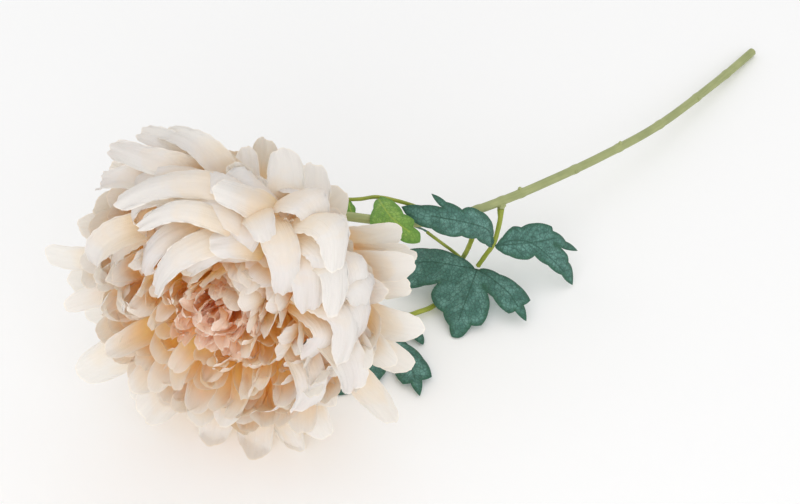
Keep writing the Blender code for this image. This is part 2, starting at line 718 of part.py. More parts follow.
def make_petioles():
    made = []
    for name, (node, route, radius) in PETIOLES.items():
        start = stem_point(node)
        first = start + unit(np.array(route[0]) - start) * (PEG_LENGTH + GAP)
        line = smooth_line([first] + route, 4)
        swell = [1.25 - 0.4 * min(1, i / 3) for i in range(len(line))]
        petiole = tube(name, line, radius, swell, 2, part)
        if name == "sprig_b_petiole":
            line = smooth_line(TWIG[0], 5)
            tube("twig", line, TWIG[1], [1] * len(line), 1, repeats)
            join_repeats(petiole)
        made.append(petiole)
    return made


def make_leaves():
    return [leaf(name, *values, part) for name, values in LEAVES.items()]


def paint(obj, colour):
    base, roughness = COLOURS[colour]
    material = bpy.data.materials.get(colour) or bpy.data.materials.new(colour)
    material.use_nodes = True
    shader = material.node_tree.nodes["Principled BSDF"]
    shader.inputs["Base Color"].default_value = base
    shader.inputs["Roughness"].default_value = roughness
    shader.inputs["Metallic"].default_value = 0
    obj.data.materials.clear()
    obj.data.materials.append(material)


for old in list(bpy.data.objects):
    bpy.data.objects.remove(old)

part = bpy.data.collections.new("pompon_chrysanthemum")
cutters = bpy.data.collections.new("cutters")
repeats = bpy.data.collections.new("repeats")
for group in (part, cutters, repeats):
    bpy.context.scene.collection.children.link(group)

table = cutter("table_top", (600, 600, 40), (0, 0, -20))

centre = bpy.data.objects.new("centre", None)
part.objects.link(centre)
centre.location = (-CENTRE[0] * MM, -CENTRE[1] * MM, 0)

pieces = [(make_petals(), "petals"), (make_heart(), "heart"), (make_calyx(), "calyx"), (make_stem(), "stem")]
pieces += [(obj, "petiole") for obj in make_petioles()]
pieces += [(obj, "young_leaf" if "leaf_c" in obj.name else "leaf") for obj in make_leaves()]
for piece, colour in pieces:
    paint(piece, colour)
    piece.data.shade_smooth()
    piece.data.set_sharp_from_angle(angle=math.radians(35))
    piece.parent = centre
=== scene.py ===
"""Looks of the pompon chrysanthemum stem: silk petals, pressed leaves and moulded stalks.

Every size is in millimetres, as in the part's source, and is turned to the frame's metres where
a mesh, a lamp or the camera is made.
"""
import math

import bpy
import numpy as np
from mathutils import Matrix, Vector
from mathutils.geometry import delaunay_2d_cdt


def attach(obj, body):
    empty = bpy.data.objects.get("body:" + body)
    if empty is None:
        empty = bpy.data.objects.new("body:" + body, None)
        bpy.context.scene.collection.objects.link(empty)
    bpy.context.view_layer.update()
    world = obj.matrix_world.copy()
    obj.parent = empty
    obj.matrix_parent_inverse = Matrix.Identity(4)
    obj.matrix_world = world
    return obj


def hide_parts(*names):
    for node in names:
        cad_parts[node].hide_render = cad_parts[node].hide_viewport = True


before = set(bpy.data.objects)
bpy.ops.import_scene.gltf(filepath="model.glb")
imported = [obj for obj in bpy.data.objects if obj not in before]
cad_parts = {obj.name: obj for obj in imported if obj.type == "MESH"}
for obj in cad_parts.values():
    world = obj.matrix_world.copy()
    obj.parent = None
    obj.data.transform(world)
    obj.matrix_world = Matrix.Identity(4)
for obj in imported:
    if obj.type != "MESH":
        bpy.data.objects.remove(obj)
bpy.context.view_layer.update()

MM = 0.001
# The source's pieces were moved by this much, so that their box is centred over the origin
CENTRE = np.array([90.5, 89.9, 0.0])

# Camera, as the photograph was taken: 45 degrees down, along +Y
CAMERA_PLACE = np.array([69.5, -668.3, 755.2])
CAMERA_TILT = math.radians(45)
LENS = 88.0
SENSOR = 36.0

# Bloom frame: the base lies at BLOOM_BASE and the flower looks along BLOOM_AXIS
BLOOM_BASE = np.array([0.0, 0.0, 80.0])
BLOOM_AXIS = np.array([-0.30, -0.9255, 0.2326])
FLOOR_CLEARANCE = 0.25
# A petal that meets the table runs forward along it, by this much of what it would sink
SPLAY = 0.8

SEPAL_THICKNESS = 0.5
LEAF_THICKNESS = 0.35
# Length of a petal's rounded end, as a share of its width there
ROUNDNESS = 0.62

# Core of the bloom, which the roots of its petals hide: radius and height
CORE_SIDES = 48
CORE_PROFILE = [(0, 37), (8, 36), (15, 31), (19, 22), (18, 12), (14, 4), (13, -0.7), (0, -0.7)]

# Number of petals in the face, and the turn from one to the next
FILL = 236
GOLDEN_TURN = math.radians(137.508)

# Petals that fill the face, from the heart (k = 0) to the rim (k = 1):
# k, tip reach, tip height, leaving angle, arriving angle, width, cup, claw
FILL_PROFILE = np.array([
    [0.00, 16, 57, 12, -15, 12, 1.15, 0.60],
    [0.20, 27, 59, 32, -20, 14, 1.10, 0.55],
    [0.40, 41, 58, 52, -15, 15.5, 1.00, 0.50],
    [0.60, 54, 54, 66, -5, 17, 0.90, 0.45],
    [0.80, 67, 46, 78, 12, 18, 0.80, 0.42],
    [1.00, 75, 35, 86, 35, 19, 0.70, 0.38],
])

# Outermost petals: azimuth, reach, height, width
GUARD_PETALS = [
    (20, 92, 22, 22), (7, 85, 16, 23), (-10, 90, 20, 25), (-24, 91, 8, 20), (-37, 100, 20, 23),
    (-47, 80, 10, 20), (-55, 88, 28, 20), (-68, 96, 24, 24), (-80, 97, 27, 25), (-94, 95, 28, 20),
    (-110, 92, 34, 27), (-124, 92, 32, 22), (-136, 100, 32, 24), (-149, 92, 22, 22),
    (-161, 92, 24, 22), (-175, 100, 30, 17), (166, 78, 24, 22), (156, 72, 18, 22),
    (148, 84, 14, 22), (135, 87, 14, 24), (121, 82, 10, 22), (106, 60, 10, 20), (96, 66, 6, 20),
    (80, 76, 12, 21), (66, 66, 4, 22), (53, 70, 8, 25), (38, 84, 12, 22), (29, 88, 16, 20),
    (-74, 97, 6, 22), (-92, 97, 4, 22), (-110, 101, 6, 22),
]

# Petals that arch over the face, each through two points to its tip, every point an
# azimuth, a reach and a height; then width and cup
ARCHING_PETALS = [
    ((79, 62, 66), (93, 72, 78), (118, 61, 72), 12, 0.5),
    ((78, 56, 62), (94, 54, 76), (146, 35, 66), 14, 0.5),
    ((76, 52, 60), (83, 51, 72), (110, 30, 64), 14, 0.5),
    ((76, 66, 60), (71, 62, 68), (70, 44, 64), 16, 0.5),
    ((64, 72, 66), (56, 69, 74), (42, 48, 64), 17, 0.4),
    ((80, 73, 56), (98, 79, 66), (127, 68, 58), 15, 0.6),
    ((84, 66, 50), (105, 70, 64), (146, 57, 55), 17, 0.6),
    ((94, 62, 42), (112, 78, 54), (133, 84, 43), 15, 0.6),
    ((92, 58, 38), (107, 78, 42), (124, 89, 36), 15, 0.6),
    ((88, 60, 38), (97, 79, 42), (116, 82, 30), 15, 0.6),
    ((72, 62, 40), (88, 82, 60), (92, 76, 66), 20, 0.6),
    ((84, 56, 35), (86, 67, 32), (90, 73, 24), 13, 0.5),
    ((68, 62, 38), (71, 74, 34), (77, 79, 24), 20, 0.7),
    ((60, 70, 48), (52, 92, 60), (37, 80, 60), 23, 0.7),
    ((59, 62, 50), (49, 79, 62), (30, 64, 61), 21, 0.7),
    ((46, 54, 48), (41, 75, 58), (22, 65, 60), 17, 0.6),
    ((31, 38, 45), (22, 61, 57), (-8, 56, 56), 18, 0.8),
    ((-15, 28, 40), (-19, 49, 50), (-48, 64, 44), 19, 0.8),
    ((36, 52, 44), (29, 74, 54), (14, 67, 49), 20, 0.6),
    ((12, 40, 40), (-2, 60, 46), (-24, 74, 38), 20, 0.6),
    ((132, 51, 50), (150, 58, 60), (-179, 57, 50), 18, 0.6),
]

# Rings of guard petals: degrees aside from the table's azimuth, height of the root, what is added
# to the tip's reach and height, and the angles at which a petal leaves and arrives. Petals that
# point down more steeply than this sine stand in the first ring only
GUARD_RINGS = ((0, 3, 0, 0, 92, 86), (6, 6, -15, 11, 80, 68))
SINGLE_BELOW = 0.3
# The guard petals are this much narrower than the source's, and there are more of them
NARROWER = 0.9
# Reach of the guard petals' roots, and reach and height of the arching petals' roots
GUARD_ROOT = 12
ARCH_ROOT = (10, 8)
# Shorter petals over the roots of the arching ones: how far along they end, degrees aside,
# mm above, and first seed
SHINGLES = ((0.66, -9, 1.0, 480), (0.46, 8, 1.8, 510))
# They lie on the dome, which the first petals of the table make
DOME = 13
DOME_MIDDLE = np.array([0.0, 0.0, 25.0])
# First seed of each kind of petal
SEEDS = {"guard": 300, "arching": 400, "under": 440, "heart": 500, "sepal": 600}

# Upwards in the bloom's frame. Petals of the face on that side lean over the heart, and those
# on the other side spread out. What changes in them, and how much it varies, also where they
# spread out: share of the reach, mm of height, degrees at the tip
UPWARDS = math.radians(75)
LEANING_OVER = np.array([-0.20, 6, -25])
SPREADING_OUT = np.array([0.16, -5, 40])
VARYING = np.array([0.10, 6, 25])
VARYING_SPREAD = np.array([0, 4, 0])
# The middle of the bloom was teased open towards this azimuth, so its petals turn their faces
# that way, by up to this much in radians
OPENED_TOWARDS = math.radians(68)
TEASING = 0.7

# Florets of the heart. Each row is a value at the middle, what its edge adds, how much it varies
# and the channel of that: root's reach, tip's reach, tip's height, leaving and arriving angle
HEART_FLORETS = 46
HEART_ROOT_HEIGHT = 32
HEART_PROFILE = (
    (1, 9, 0, 0), (2, 19, 2.5, 22), (61, -2, 3, 23), (5, 25, 0, 0), (-20, 30, 60, 24),
)

# Rows and columns of points in one petal of the face, outside it, in the heart and in the calyx
FACE_GRID = (26, 15)
OUTER_GRID = (30, 17)
FLORET_GRID = (30, 19)
SEPAL_GRID = (20, 9)
# How strongly a petal's middle line pulls away from its root and towards its tip
LEAVING_PULL = 0.42
ARRIVING_PULL = 0.38
# Where along a petal its claw ends, and its taper, its curl and its end's crinkle start
CLAW_END = 0.62
TAPER_START = 0.58
CURL_START = 0.72
END_CRINKLE_START = 0.8
# Fine waves of a petal's end and of its sides: mm high, how often, turn by the seed and across
END_WAVES = ((0.3, 6, 1), (0.15, 19, 3))
SIDE_WAVES = ((0.25, 19, 1, 1), (0.15, 47, 2, -1))

# The bloom's outer surface is felt in this many directions from its middle. It lies where this
# percentage of the points that way has been passed, or this far out where there are none; the
# sharper, the fewer directions count for one point
FEELERS = 400
BLOOM_MIDDLE = np.array([0.0, 0.0, 12.0])
PASSED = 88
BARE_REACH = 60.0
SHARPNESS = 60

SEPALS = 20
FIRST_SEPAL = math.radians(53)
SEPAL_ROOT = (7, -4.5)
SEPAL_TIP = (33, -14)
SEPAL_ANGLES = (95, 125)
SEPAL_WIDTH = 5.5
CALYX_SIDES = 48
CALYX_PROFILE = [
    (0, -1), (12, -1), (12.6, -1.8), (12, -3.5), (10.6, -5.4), (9, -7), (6.6, -8.8), (4.5, -10.5),
    (3.6, -12), (0, -12),
]

STEM_RADIUS = 2.4
# Points of the stem's centre line from the calyx to the cut end, and the spacing of its rings
STEM_POINTS = [
    (3.7, 11.4, 77.1), (9.5, 29, 72.5), (19, 43, 67.5), (34, 50, 63.5), (52, 51, 60),
    (69, 51, 57), (87, 55.5, 54), (104, 65.5, 50), (123, 80, 45), (145, 100, 38),
    (180, 134, 27), (218, 174, 16), (259, 225, 6.5), (283, 256, 2.45),
]
STEM_STEP = 0.8
# Spacing at which a place on the stem is looked up
LOOKUP_STEP = 13
# The swollen nodes of the stem, at these distances along X. At each the radius swells and then
# narrows: mm on the radius, mm past the node, mm wide
STEM_NODES = (87, 110, 123, 134, 165, 192, 218, 243, 264)
NODE_SHAPE = ((0.28, 0, 1.5), (-0.08, 2.6, 0.7))
# Scars of plucked buds: stem node and the way they point
BUD_SCARS = (
    (134, (-0.3, 0.2, 1.0)), (165, (0.2, -1.0, 0.3)), (192, (0.2, 0.3, 1.0)), (243, (0.3, -0.8, 0.5)),
)
SCAR_RADIUS = 1.2
SCAR_HEIGHT = 1.6

# Sprigs: stem node, centre line of the petiole past its peg, and radius
PETIOLES = {
    "sprig_a_petiole": (123, [(122, 71, 38.5), (119, 63, 31), (115, 63, 22), (111, 62.5, 14)], 1.4),
    "sprig_b_petiole": (110, [(110, 70, 39), (107.5, 67.5, 29), (105.3, 70, 18), (103, 72, 9.5),
                              (99, 66, 4), (94, 54, 2.4), (87, 44, 2.3), (78, 38.5, 3),
                              (71, 34, 3.5), (63, 23, 4)], 1.5),
    "sprig_c_petiole": (87, [(79, 61, 58), (70, 63, 60.5), (58, 65, 62), (49, 63.5, 62), (40, 63, 62)], 1.1),
}
# Pegs that the petioles are pushed over: length, what they add to the petiole's radius, height
# and length of the flare at their foot, and the gap before the petiole
PEG_LENGTH = 4.6
PEG_COLLAR = 0.5
PEG_FLARE = 0.9
PEG_FLARE_RUN = 0.8
PEG_GAP = 0.3
PETIOLE_STEP = 0.7
# The small stalk that leaves a petiole partway: its centre line and radius
TWIG_ON = "sprig_b_petiole"
TWIG = ([(103, 72, 9.5), (97, 76.5, 12), (92.5, 75, 18), (84, 68.5, 33)], 0.9)

# Outlines of the leaves, flat, from one side of the foot round to the other:
# across and along the blade; then the ribs that the blade folds at
UPPER_LEAF = (
    [(4, 4), (8, 8), (12, 14), (13.5, 22), (13, 29.5), (10.5, 32.5), (11, 41.5), (12, 49.5),
     (7.5, 43), (4.5, 52), (0, 59.5), (-5, 51.5), (-4.5, 43.5), (-5, 35.5), (-2, 26.5), (0, 16),
     (-1, 7)],
    [[(6, 10.5), (6, 22), (4, 35), (1.5, 46.5)]],
)
RIGHT_LEAF = (
    [(-5.5, 1), (-13, 4), (-14.5, 8.5), (-19.5, 14), (-22.5, 24.5), (-20.5, 26), (-19, 36),
     (-18, 46), (-14.5, 30), (-13, 40), (-9.5, 42), (-7.5, 46), (0, 50.5), (-1.5, 41),
     (-2.5, 30.5), (-4, 21.5), (-0.5, 19), (2, 8.5), (2, 3)],
    [[(-6, 6.5), (-9, 16), (-7, 28.5), (-3.5, 41)], [(-9, 16), (-17, 28)]],
)
END_LEAF = (
    [(13.5, -5), (27.5, -5), (38, -2.5), (36, 1.5), (42, 7), (37.5, 11), (35.5, 20.5), (24, 17),
     (17.5, 13.5), (19.5, 21), (16, 26.5), (10.5, 29.5), (5, 36.5), (2, 42), (-1.5, 41.5),
     (-5, 36), (-6, 33), (-11, 31.5), (-12.5, 23), (-11, 16), (-5.5, 9), (-12.5, 14.5),
     (-23, 21.5), (-26, 19.5), (-33, 22.5), (-29.5, 15), (-32, 10.5), (-23.5, 4), (-12.5, 0.5),
     (-3.5, -1)],
    [[(0, 10), (0.5, 22.5), (1, 33)], [(11.5, 2), (25, 3.5), (34, 7)],
     [(-9.5, 4.5), (-20, 10.5), (-27, 17)]],
)
YOUNG_LEAF = (
    [(6, 5), (13, 12), (17, 20), (10, 21), (6, 24), (7, 30), (4, 34), (0, 36), (-3, 33),
     (-2, 29), (-5, 26), (-3, 20), (-4, 12), (-3, 5)],
    [[(2, 10), (3, 20), (1, 30)]],
)
SMALL_LEAF = (
    [(3, 3), (4.5, 7), (3.4, 10), (3.4, 13), (0, 18), (-3, 14), (-3.6, 10), (-4.5, 7), (-3, 3)],
    [[(0, 6), (0, 13)]],
)

# Each leaf: foot, tip, the way its face looks, outline, size, arch
LEAVES = {
    "leaf_a_upper": ((117.6, 61.7, 30.5), (69.5, 53, 67), (0, -0.7, 0.7), UPPER_LEAF, 1.0, 15),
    "leaf_a_right": ((119.9, 61.8, 29.8), (163, 59.5, 2), (0.1, -0.6, 0.8), RIGHT_LEAF, 1.0, 5),
    "leaf_a_end": ((110.5, 60.8, 13), (99, 23.5, 1.5), (0, -0.15, 1), END_LEAF, 1.0, 3),
    "leaf_b_small": ((83.2, 68.1, 34.2), (73, 66.5, 40), (0.5, 0.6, 0.6), SMALL_LEAF, 0.7, 1),
    "leaf_b_side": ((71.8, 32.2, 3.6), (82, 17, 2), (0.3, 0.1, 1), SMALL_LEAF, 1.0, 1),
    "leaf_b_end": ((62.5, 22.3, 4.1), (37, -17, 1.5), (0, 0, 1), END_LEAF, 1.1, 2),
    "leaf_c_large": ((58.5, 62.8, 62.4), (79, 34, 61), (0, -0.5, 0.85), YOUNG_LEAF, 1.0, 7),
    "leaf_c_small": ((43, 61.2, 62), (45.5, 53, 57), (0, -0.5, 0.85), SMALL_LEAF, 0.6, 1),
}
# Half width of a leaf's foot, how steeply the blade folds at its ribs, and how far from them
LEAF_FOOT = 1.2
FOLD = 0.2
FOLD_REACH = 9
# How far the sides of a lobe bow outwards, as a share of their length, and steps along them
LOBE_BOW = 0.07
EDGE_STEP = 0.9
# Spacing of the blade's points, as rows of triangles
LEAF_GRAIN = 0.75
ROW_SPACING = LEAF_GRAIN * 0.866
# Side veins: spacing, length, how far from the edge they end, angle to the rib, bend per mm, and
# the distance that stands for no vein at all
VEIN_SPACING = 4.5
VEIN_LENGTH = 15
VEIN_MARGIN = 1.3
VEIN_ANGLE = 0.95
VEIN_BEND = 0.035
NO_VEIN = 9.0
# Relief of the blade, each a height and a width: the grooves of ribs and veins, the ridge that
# a rib makes underneath, and the height that keeps this off the table
RIB_GROOVE = (0.45, 1.2)
VEIN_GROOVE = (0.35, 1.5)
RIB_RIDGE = (0.55, 0.7)
LEAF_CLEARANCE = 0.62


def unit(v):
    """The vector, or each vector of an array, with length 1."""
    return v / np.linalg.norm(v, axis=-1, keepdims=True)


BLOOM_AXIS = unit(BLOOM_AXIS)
BLOOM_SIDE = unit(np.cross([0.0, 0.0, 1.0], BLOOM_AXIS))
BLOOM_RISE = np.cross(BLOOM_AXIS, BLOOM_SIDE)


def wobble(index, channel):
    """A repeatable number from -1 to 1, to make one petal differ from the next."""
    x = math.sin(index * 12.9898 + channel * 78.233) * 43758.5453
    return 2 * (x - math.floor(x)) - 1


def ease(x):
    """Goes from 0 to 1 as x does, and starts and ends gently."""
    x = np.clip(x, 0, 1)
    return x * x * (3 - 2 * x)


def polar(azimuth, reach, height):
    """A point of the bloom's frame from an azimuth in radians."""
    return np.array([reach * math.cos(azimuth), reach * math.sin(azimuth), height])


def heading(angle, azimuth):
    """A direction that leans by angle from the bloom's axis, towards the azimuth."""
    return polar(azimuth, math.sin(angle), math.cos(angle))


def across_at(azimuth):
    """The direction across a petal that stands at the azimuth."""
    return np.array([-math.sin(azimuth), math.cos(azimuth), 0])


def bloom_to_world(q):
    """Points of the bloom's frame as points of the part's source."""
    return BLOOM_BASE + q[..., :1] * BLOOM_SIDE + q[..., 1:2] * BLOOM_RISE + q[..., 2:] * BLOOM_AXIS


# Mesh tools


def joined(parts):
    """Points, faces and marks of several meshes as one. Marks are three numbers at each point."""
    points, faces, marks, start = [], [], {}, 0
    for some_points, some_faces, some_marks in parts:
        points.append(some_points)
        faces += [[i + start for i in face] for face in some_faces]
        start += len(some_points)
        for key, values in some_marks.items():
            marks.setdefault(key, []).append(values)
    return np.concatenate(points), faces, {key: np.concatenate(v) for key, v in marks.items()}


def placed(name, data):
    """A new object in the scene."""
    made = bpy.data.objects.new(name, data)
    bpy.context.scene.collection.objects.link(made)
    return made


def add_piece(name, parts, material, nodes, crease=50):
    """Makes one mesh object from the parts, which stands for the named CAD nodes."""
    points, faces, marks = joined(parts)
    mesh = bpy.data.meshes.new(name)
    mesh.from_pydata((points - CENTRE) * MM, [], faces)
    for key, values in marks.items():
        mark = mesh.attributes.new(key, "FLOAT_VECTOR", "POINT")
        mark.data.foreach_set("vector", np.asarray(values, np.float32).ravel())
    mesh.shade_smooth()
    mesh.set_sharp_from_angle(angle=math.radians(crease))
    mesh.materials.append(material)
    piece = placed(name, mesh)
    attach(piece, "root")
    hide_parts(*nodes)


def grid_faces(rows, columns, start=0, flip=False, closed=False):
    """Quads of a grid of points, row by row. A closed grid joins its last column to its first."""
    faces = []
    for i in range(rows - 1):
        for j in range(columns if closed else columns - 1):
            right = (j + 1) % columns
            face = [i * columns + j, i * columns + right, (i + 1) * columns + right, (i + 1) * columns + j]
            faces.append([start + v for v in (face[::-1] if flip else face)])
    return faces


def shell(grid, thickness, marks):
    """A thin closed blade round a grid of points, with the same marks on both faces."""
    rows, columns = grid.shape[:2]
    normal = unit(np.cross(np.gradient(grid, axis=1), np.gradient(grid, axis=0)))
    count = rows * columns
    points = np.concatenate([(grid + normal * thickness / 2).reshape(-1, 3),
                             (grid - normal * thickness / 2).reshape(-1, 3)])
    faces = grid_faces(rows, columns, flip=True) + grid_faces(rows, columns, start=count)
    rim = [(0, j) for j in range(columns)] + [(i, columns - 1) for i in range(1, rows)]
    rim += [(rows - 1, j) for j in range(columns - 2, -1, -1)] + [(i, 0) for i in range(rows - 2, 0, -1)]
    around = [i * columns + j for i, j in rim]
    for a, b in zip(around, around[1:] + around[:1]):
        faces.append([a, b, b + count, a + count])
    return points, faces, {key: np.concatenate([v.reshape(-1, 3)] * 2) for key, v in marks.items()}


def row_at(x, places, rows):
    """The row at place x, between rows that are given at some places."""
    return np.array([np.interp(x, places, column) for column in rows.T])


def run_along(line):
    """How far along the line each of its points lies."""
    return np.concatenate([[0], np.cumsum(np.linalg.norm(np.diff(line, axis=0), axis=1))])


def smooth_line(points, step):
    """Points about every step along a smooth curve through the given ones."""
    points = [np.array(p, float) for p in points]
    ends = [2 * points[0] - points[1]] + points + [2 * points[-1] - points[-2]]
    line = []
    for a, b, c, d in zip(ends, ends[1:], ends[2:], ends[3:]):
        count = max(1, round(np.linalg.norm(c - b) / step))
        for i in range(count):
            t = i / count
            line.append(0.5 * (2 * b + (c - a) * t + (2 * a - 5 * b + 4 * c - d) * t ** 2
                               + (3 * b - a - 3 * c + d) * t ** 3))
    return line + [points[-1]]


def sweep(line, radii, sides=24, ridges=0, ridge_height=0.0, seed=0.0):
    """A closed rod along the line. Marks: place along it and round it, both in mm, and the seed."""
    line = np.array(line)
    radii = np.asarray(radii, float)
    along = unit(np.gradient(line, axis=0))
    sideways = unit(np.cross(along[0], [0.3, 0.2, 1.0]))
    turns = np.linspace(0, 2 * math.pi, sides, endpoint=False)
    shape = 1 + ridge_height * np.cos(ridges * turns)
    rings = []
    for place, ahead, radius in zip(line, along, radii):
        sideways = unit(sideways - ahead * (sideways @ ahead))
        up = np.cross(ahead, sideways)
        rings.append(place + radius * shape[:, None] * (np.cos(turns)[:, None] * sideways
                                                        + np.sin(turns)[:, None] * up))
    run = run_along(line)
    points = np.concatenate([np.array(rings).reshape(-1, 3), line[:1], line[-1:]])
    marks = np.zeros((len(points), 3))
    marks[:-2, 0] = np.repeat(run, sides)
    marks[:-2, 1] = np.tile(turns, len(line)) * radii.mean()
    marks[-1, 0] = run[-1]
    marks[:, 2] = seed
    faces = grid_faces(len(line), sides, closed=True)
    last = (len(line) - 1) * sides
    for j in range(sides):
        right = (j + 1) % sides
        faces.append([j, len(points) - 2, right])
        faces.append([last + right, len(points) - 1, last + j])
    return points, faces, {"run": marks}


def turned(profile, sides, marks_of):
    """A profile of (radius, height) pairs turned about the bloom's axis."""
    radius, height = np.array(profile, float).T
    turns = np.linspace(0, 2 * math.pi, sides, endpoint=False)
    grid = np.stack([radius[:, None] * np.cos(turns), radius[:, None] * np.sin(turns),
                     height[:, None] + 0 * turns], axis=-1)
    faces = grid_faces(len(profile), sides, closed=True)
    return bloom_to_world(grid).reshape(-1, 3), faces, marks_of(grid)


# Petals


def character(i, k):
    """What sets petal i apart: its lean, its twist and the waves of its edge.

    k is its place in the bloom, from the heart (0) to the rim (1). The share of its length that
    other petals hide keeps the dye of the root, partly as painted shade where the petals overlap, and
    paleness is how far the dye pales to the tip.
    """
    return {
        "drift": 0.10 * wobble(i, 5),
        "roll": 0.4 * wobble(i, 9) * (1 - 0.4 * k),
        "twist": 0.45 * wobble(i, 10) * (1 - 0.4 * k),
        "ruffle": 1.5 * (0.6 + 0.4 * wobble(i, 11)),
        "waves": 1.6 + 0.8 * wobble(i, 12),
        "phase": 3.1 * wobble(i, 13),
        "fold": 0.4 * wobble(i, 14),
        "tip_curl": 0.3 * wobble(i, 15),
        "bend": 0.1 * wobble(i, 16),
        "seed": i,
        "k": k,
        "hidden": 0.5,
        "paleness": 1.0,
        "crinkle": 0.7,
        "crumple": 0.5,
        "squareness": 2.1 + 0.3 * wobble(i, 41),
        "taper": 0.30 + 0.12 * wobble(i, 43),
        "notch": max(0.0, wobble(i, 42) - 0.5) * 3,
    }


def standing_petal(seed, k, azimuth, root, tip, angles, turn=0.0, **traits):
    """A petal that leaves its root and arrives at its tip at given angles to the bloom's axis.

    Its face turns towards where the bloom was teased open, by up to some radians, and the traits
    take the place of those of its character.
    """
    petal = character(seed, k)
    leave, arrive = (math.radians(angle) for angle in angles)
    start = polar(azimuth, *root)
    end = polar(azimuth + petal["drift"], *tip)
    chord = np.linalg.norm(end - start)
    out = start + heading(leave, azimuth) * chord * LEAVING_PULL
    back = end - heading(arrive, azimuth + petal["drift"]) * chord * ARRIVING_PULL
    middle = azimuth + petal["drift"] / 2
    side = across_at(middle + turn * math.sin(middle - OPENED_TOWARDS))
    return petal | {"spine": [start, out, back, end], "chord": chord, "side": side} | traits


def spine_through(points):
    """Four Bezier points of the cubic that passes through four given points."""
    steps = [math.sqrt(np.linalg.norm(b - a)) for a, b in zip(points, points[1:])]
    t1 = steps[0] / sum(steps)
    t2 = (steps[0] + steps[1]) / sum(steps)
    rows = [[3 * (1 - t) ** 2 * t, 3 * (1 - t) * t ** 2] for t in (t1, t2)]
    rest = [p - (1 - t) ** 3 * points[0] - t ** 3 * points[3]
            for p, t in ((points[1], t1), (points[2], t2))]
    out, back = np.linalg.solve(np.array(rows), np.array(rest))
    chord = 0.8 * sum(np.linalg.norm(b - a) for a, b in zip(points, points[1:]))
    return [points[0], out, back, points[3]], chord


def on_spine(spine, u):
    """Points of a petal's middle line, u of the way from its root to its tip."""
    a, b, c, d = spine
    r = 1 - u
    return r ** 3 * a + 3 * r * r * u * b + 3 * r * u * u * c + u ** 3 * d


def fill_petals():
    """The petals of the face, from the heart to the rim."""
    petals = []
    for i in range(FILL):
        k = (i + 0.5) / FILL
        reach, height, leave, arrive, width, cup, claw = row_at(k, FILL_PROFILE[:, 0], FILL_PROFILE[:, 1:])
        azimuth = i * GOLDEN_TURN + 0.35 * wobble(i, 1) * (1 - 0.3 * k)
        upward = math.cos(azimuth - UPWARDS)
        above, below = max(0, upward), max(0, -upward)
        lean = math.sin(math.pi * min(1, k * 1.1))
        change = above * lean * LEANING_OVER + below * lean * SPREADING_OUT
        change += (VARYING + below * lean * VARYING_SPREAD) * [wobble(i, c) for c in (2, 3, 4)]
        # Petals on the bloom's lower side keep more of the root's warm tone, as painted shade under the
        # bloom
        petal = standing_petal(
            i, k, azimuth, (4 + 7 * k, 14 - 10 * k), (reach * (1 + change[0]), height + change[1]),
            (leave + 6 * wobble(i, 6), arrive + change[2]), TEASING * (1 - 0.6 * k),
            width=width * (1.06 + 0.25 * wobble(i, 7) + 0.15 * above), claw=claw, crinkle=0.4,
            cup=cup * (1 + 0.3 * wobble(i, 8)) * (1 - 0.55 * above),
            crumple=(1.3 - 0.8 * k) * (1 - 0.5 * above),
            hidden=0.5 + 0.06 * below, paleness=1 - 0.11 * below)
        petal["tip_curl"] += 0.4 * below
        petal["taper"] *= 0.6
        petal["ruffle"] *= 0.7
        petals.append(petal)
    return petals


def guard_petals():
    """The outermost petals, which stand out behind the others."""
    petals = []
    for i, (azimuth, reach, height, width) in enumerate(GUARD_PETALS):
        below = max(0, -math.sin(math.radians(azimuth)))
        rings = GUARD_RINGS[:1] if below > SINGLE_BELOW else GUARD_RINGS
        for ring, (aside, root, further, higher, leave, arrive) in enumerate(rings):
            seed = SEEDS["guard"] + 2 * i + ring
            # Guard petals on the lower side keep more of the root's warm tone, as painted shade under the
            # bloom
            petal = standing_petal(
                seed, 1.1, math.radians(azimuth + aside), (GUARD_ROOT, root),
                (reach + further, height + higher), (leave, arrive + 10 * wobble(seed, 4)),
                width=width * (NARROWER + 0.1 * below), cup=0.55, claw=0.4, crinkle=0.4,
                hidden=0.15 + 0.2 * below, paleness=1 - 0.07 * below)
            petal["ruffle"] *= 0.6
            petal["taper"] *= 0.7
            petals.append(petal)
    return petals


def arching_petal(seed, points, width, cup, hidden=-0.12):
    """A petal through four points of the bloom's frame, bent in one plane."""
    petal = character(seed, 0.9)
    petal["spine"], petal["chord"] = spine_through(points)
    across = unit(np.cross(points[2] - points[0], points[3] - points[2]))
    outer, tip = points[1], points[3]
    middle = unit(outer[:2]) + unit(tip[:2])
    side = across * np.sign(across @ np.array([-middle[1], middle[0], 0]))
    petal.update(roll=0, twist=0, side=side, width=width, cup=cup, claw=0.4, hidden=hidden)
    return petal


def moved(points, angle, stretch, lift):
    """Points of the bloom's frame turned about its axis, drawn in or out, and raised."""
    turn = np.array([[math.cos(angle), -math.sin(angle)], [math.sin(angle), math.cos(angle)]])
    return [points[0]] + [np.append(turn @ p[:2] * stretch, p[2] + lift) for p in points[1:]]


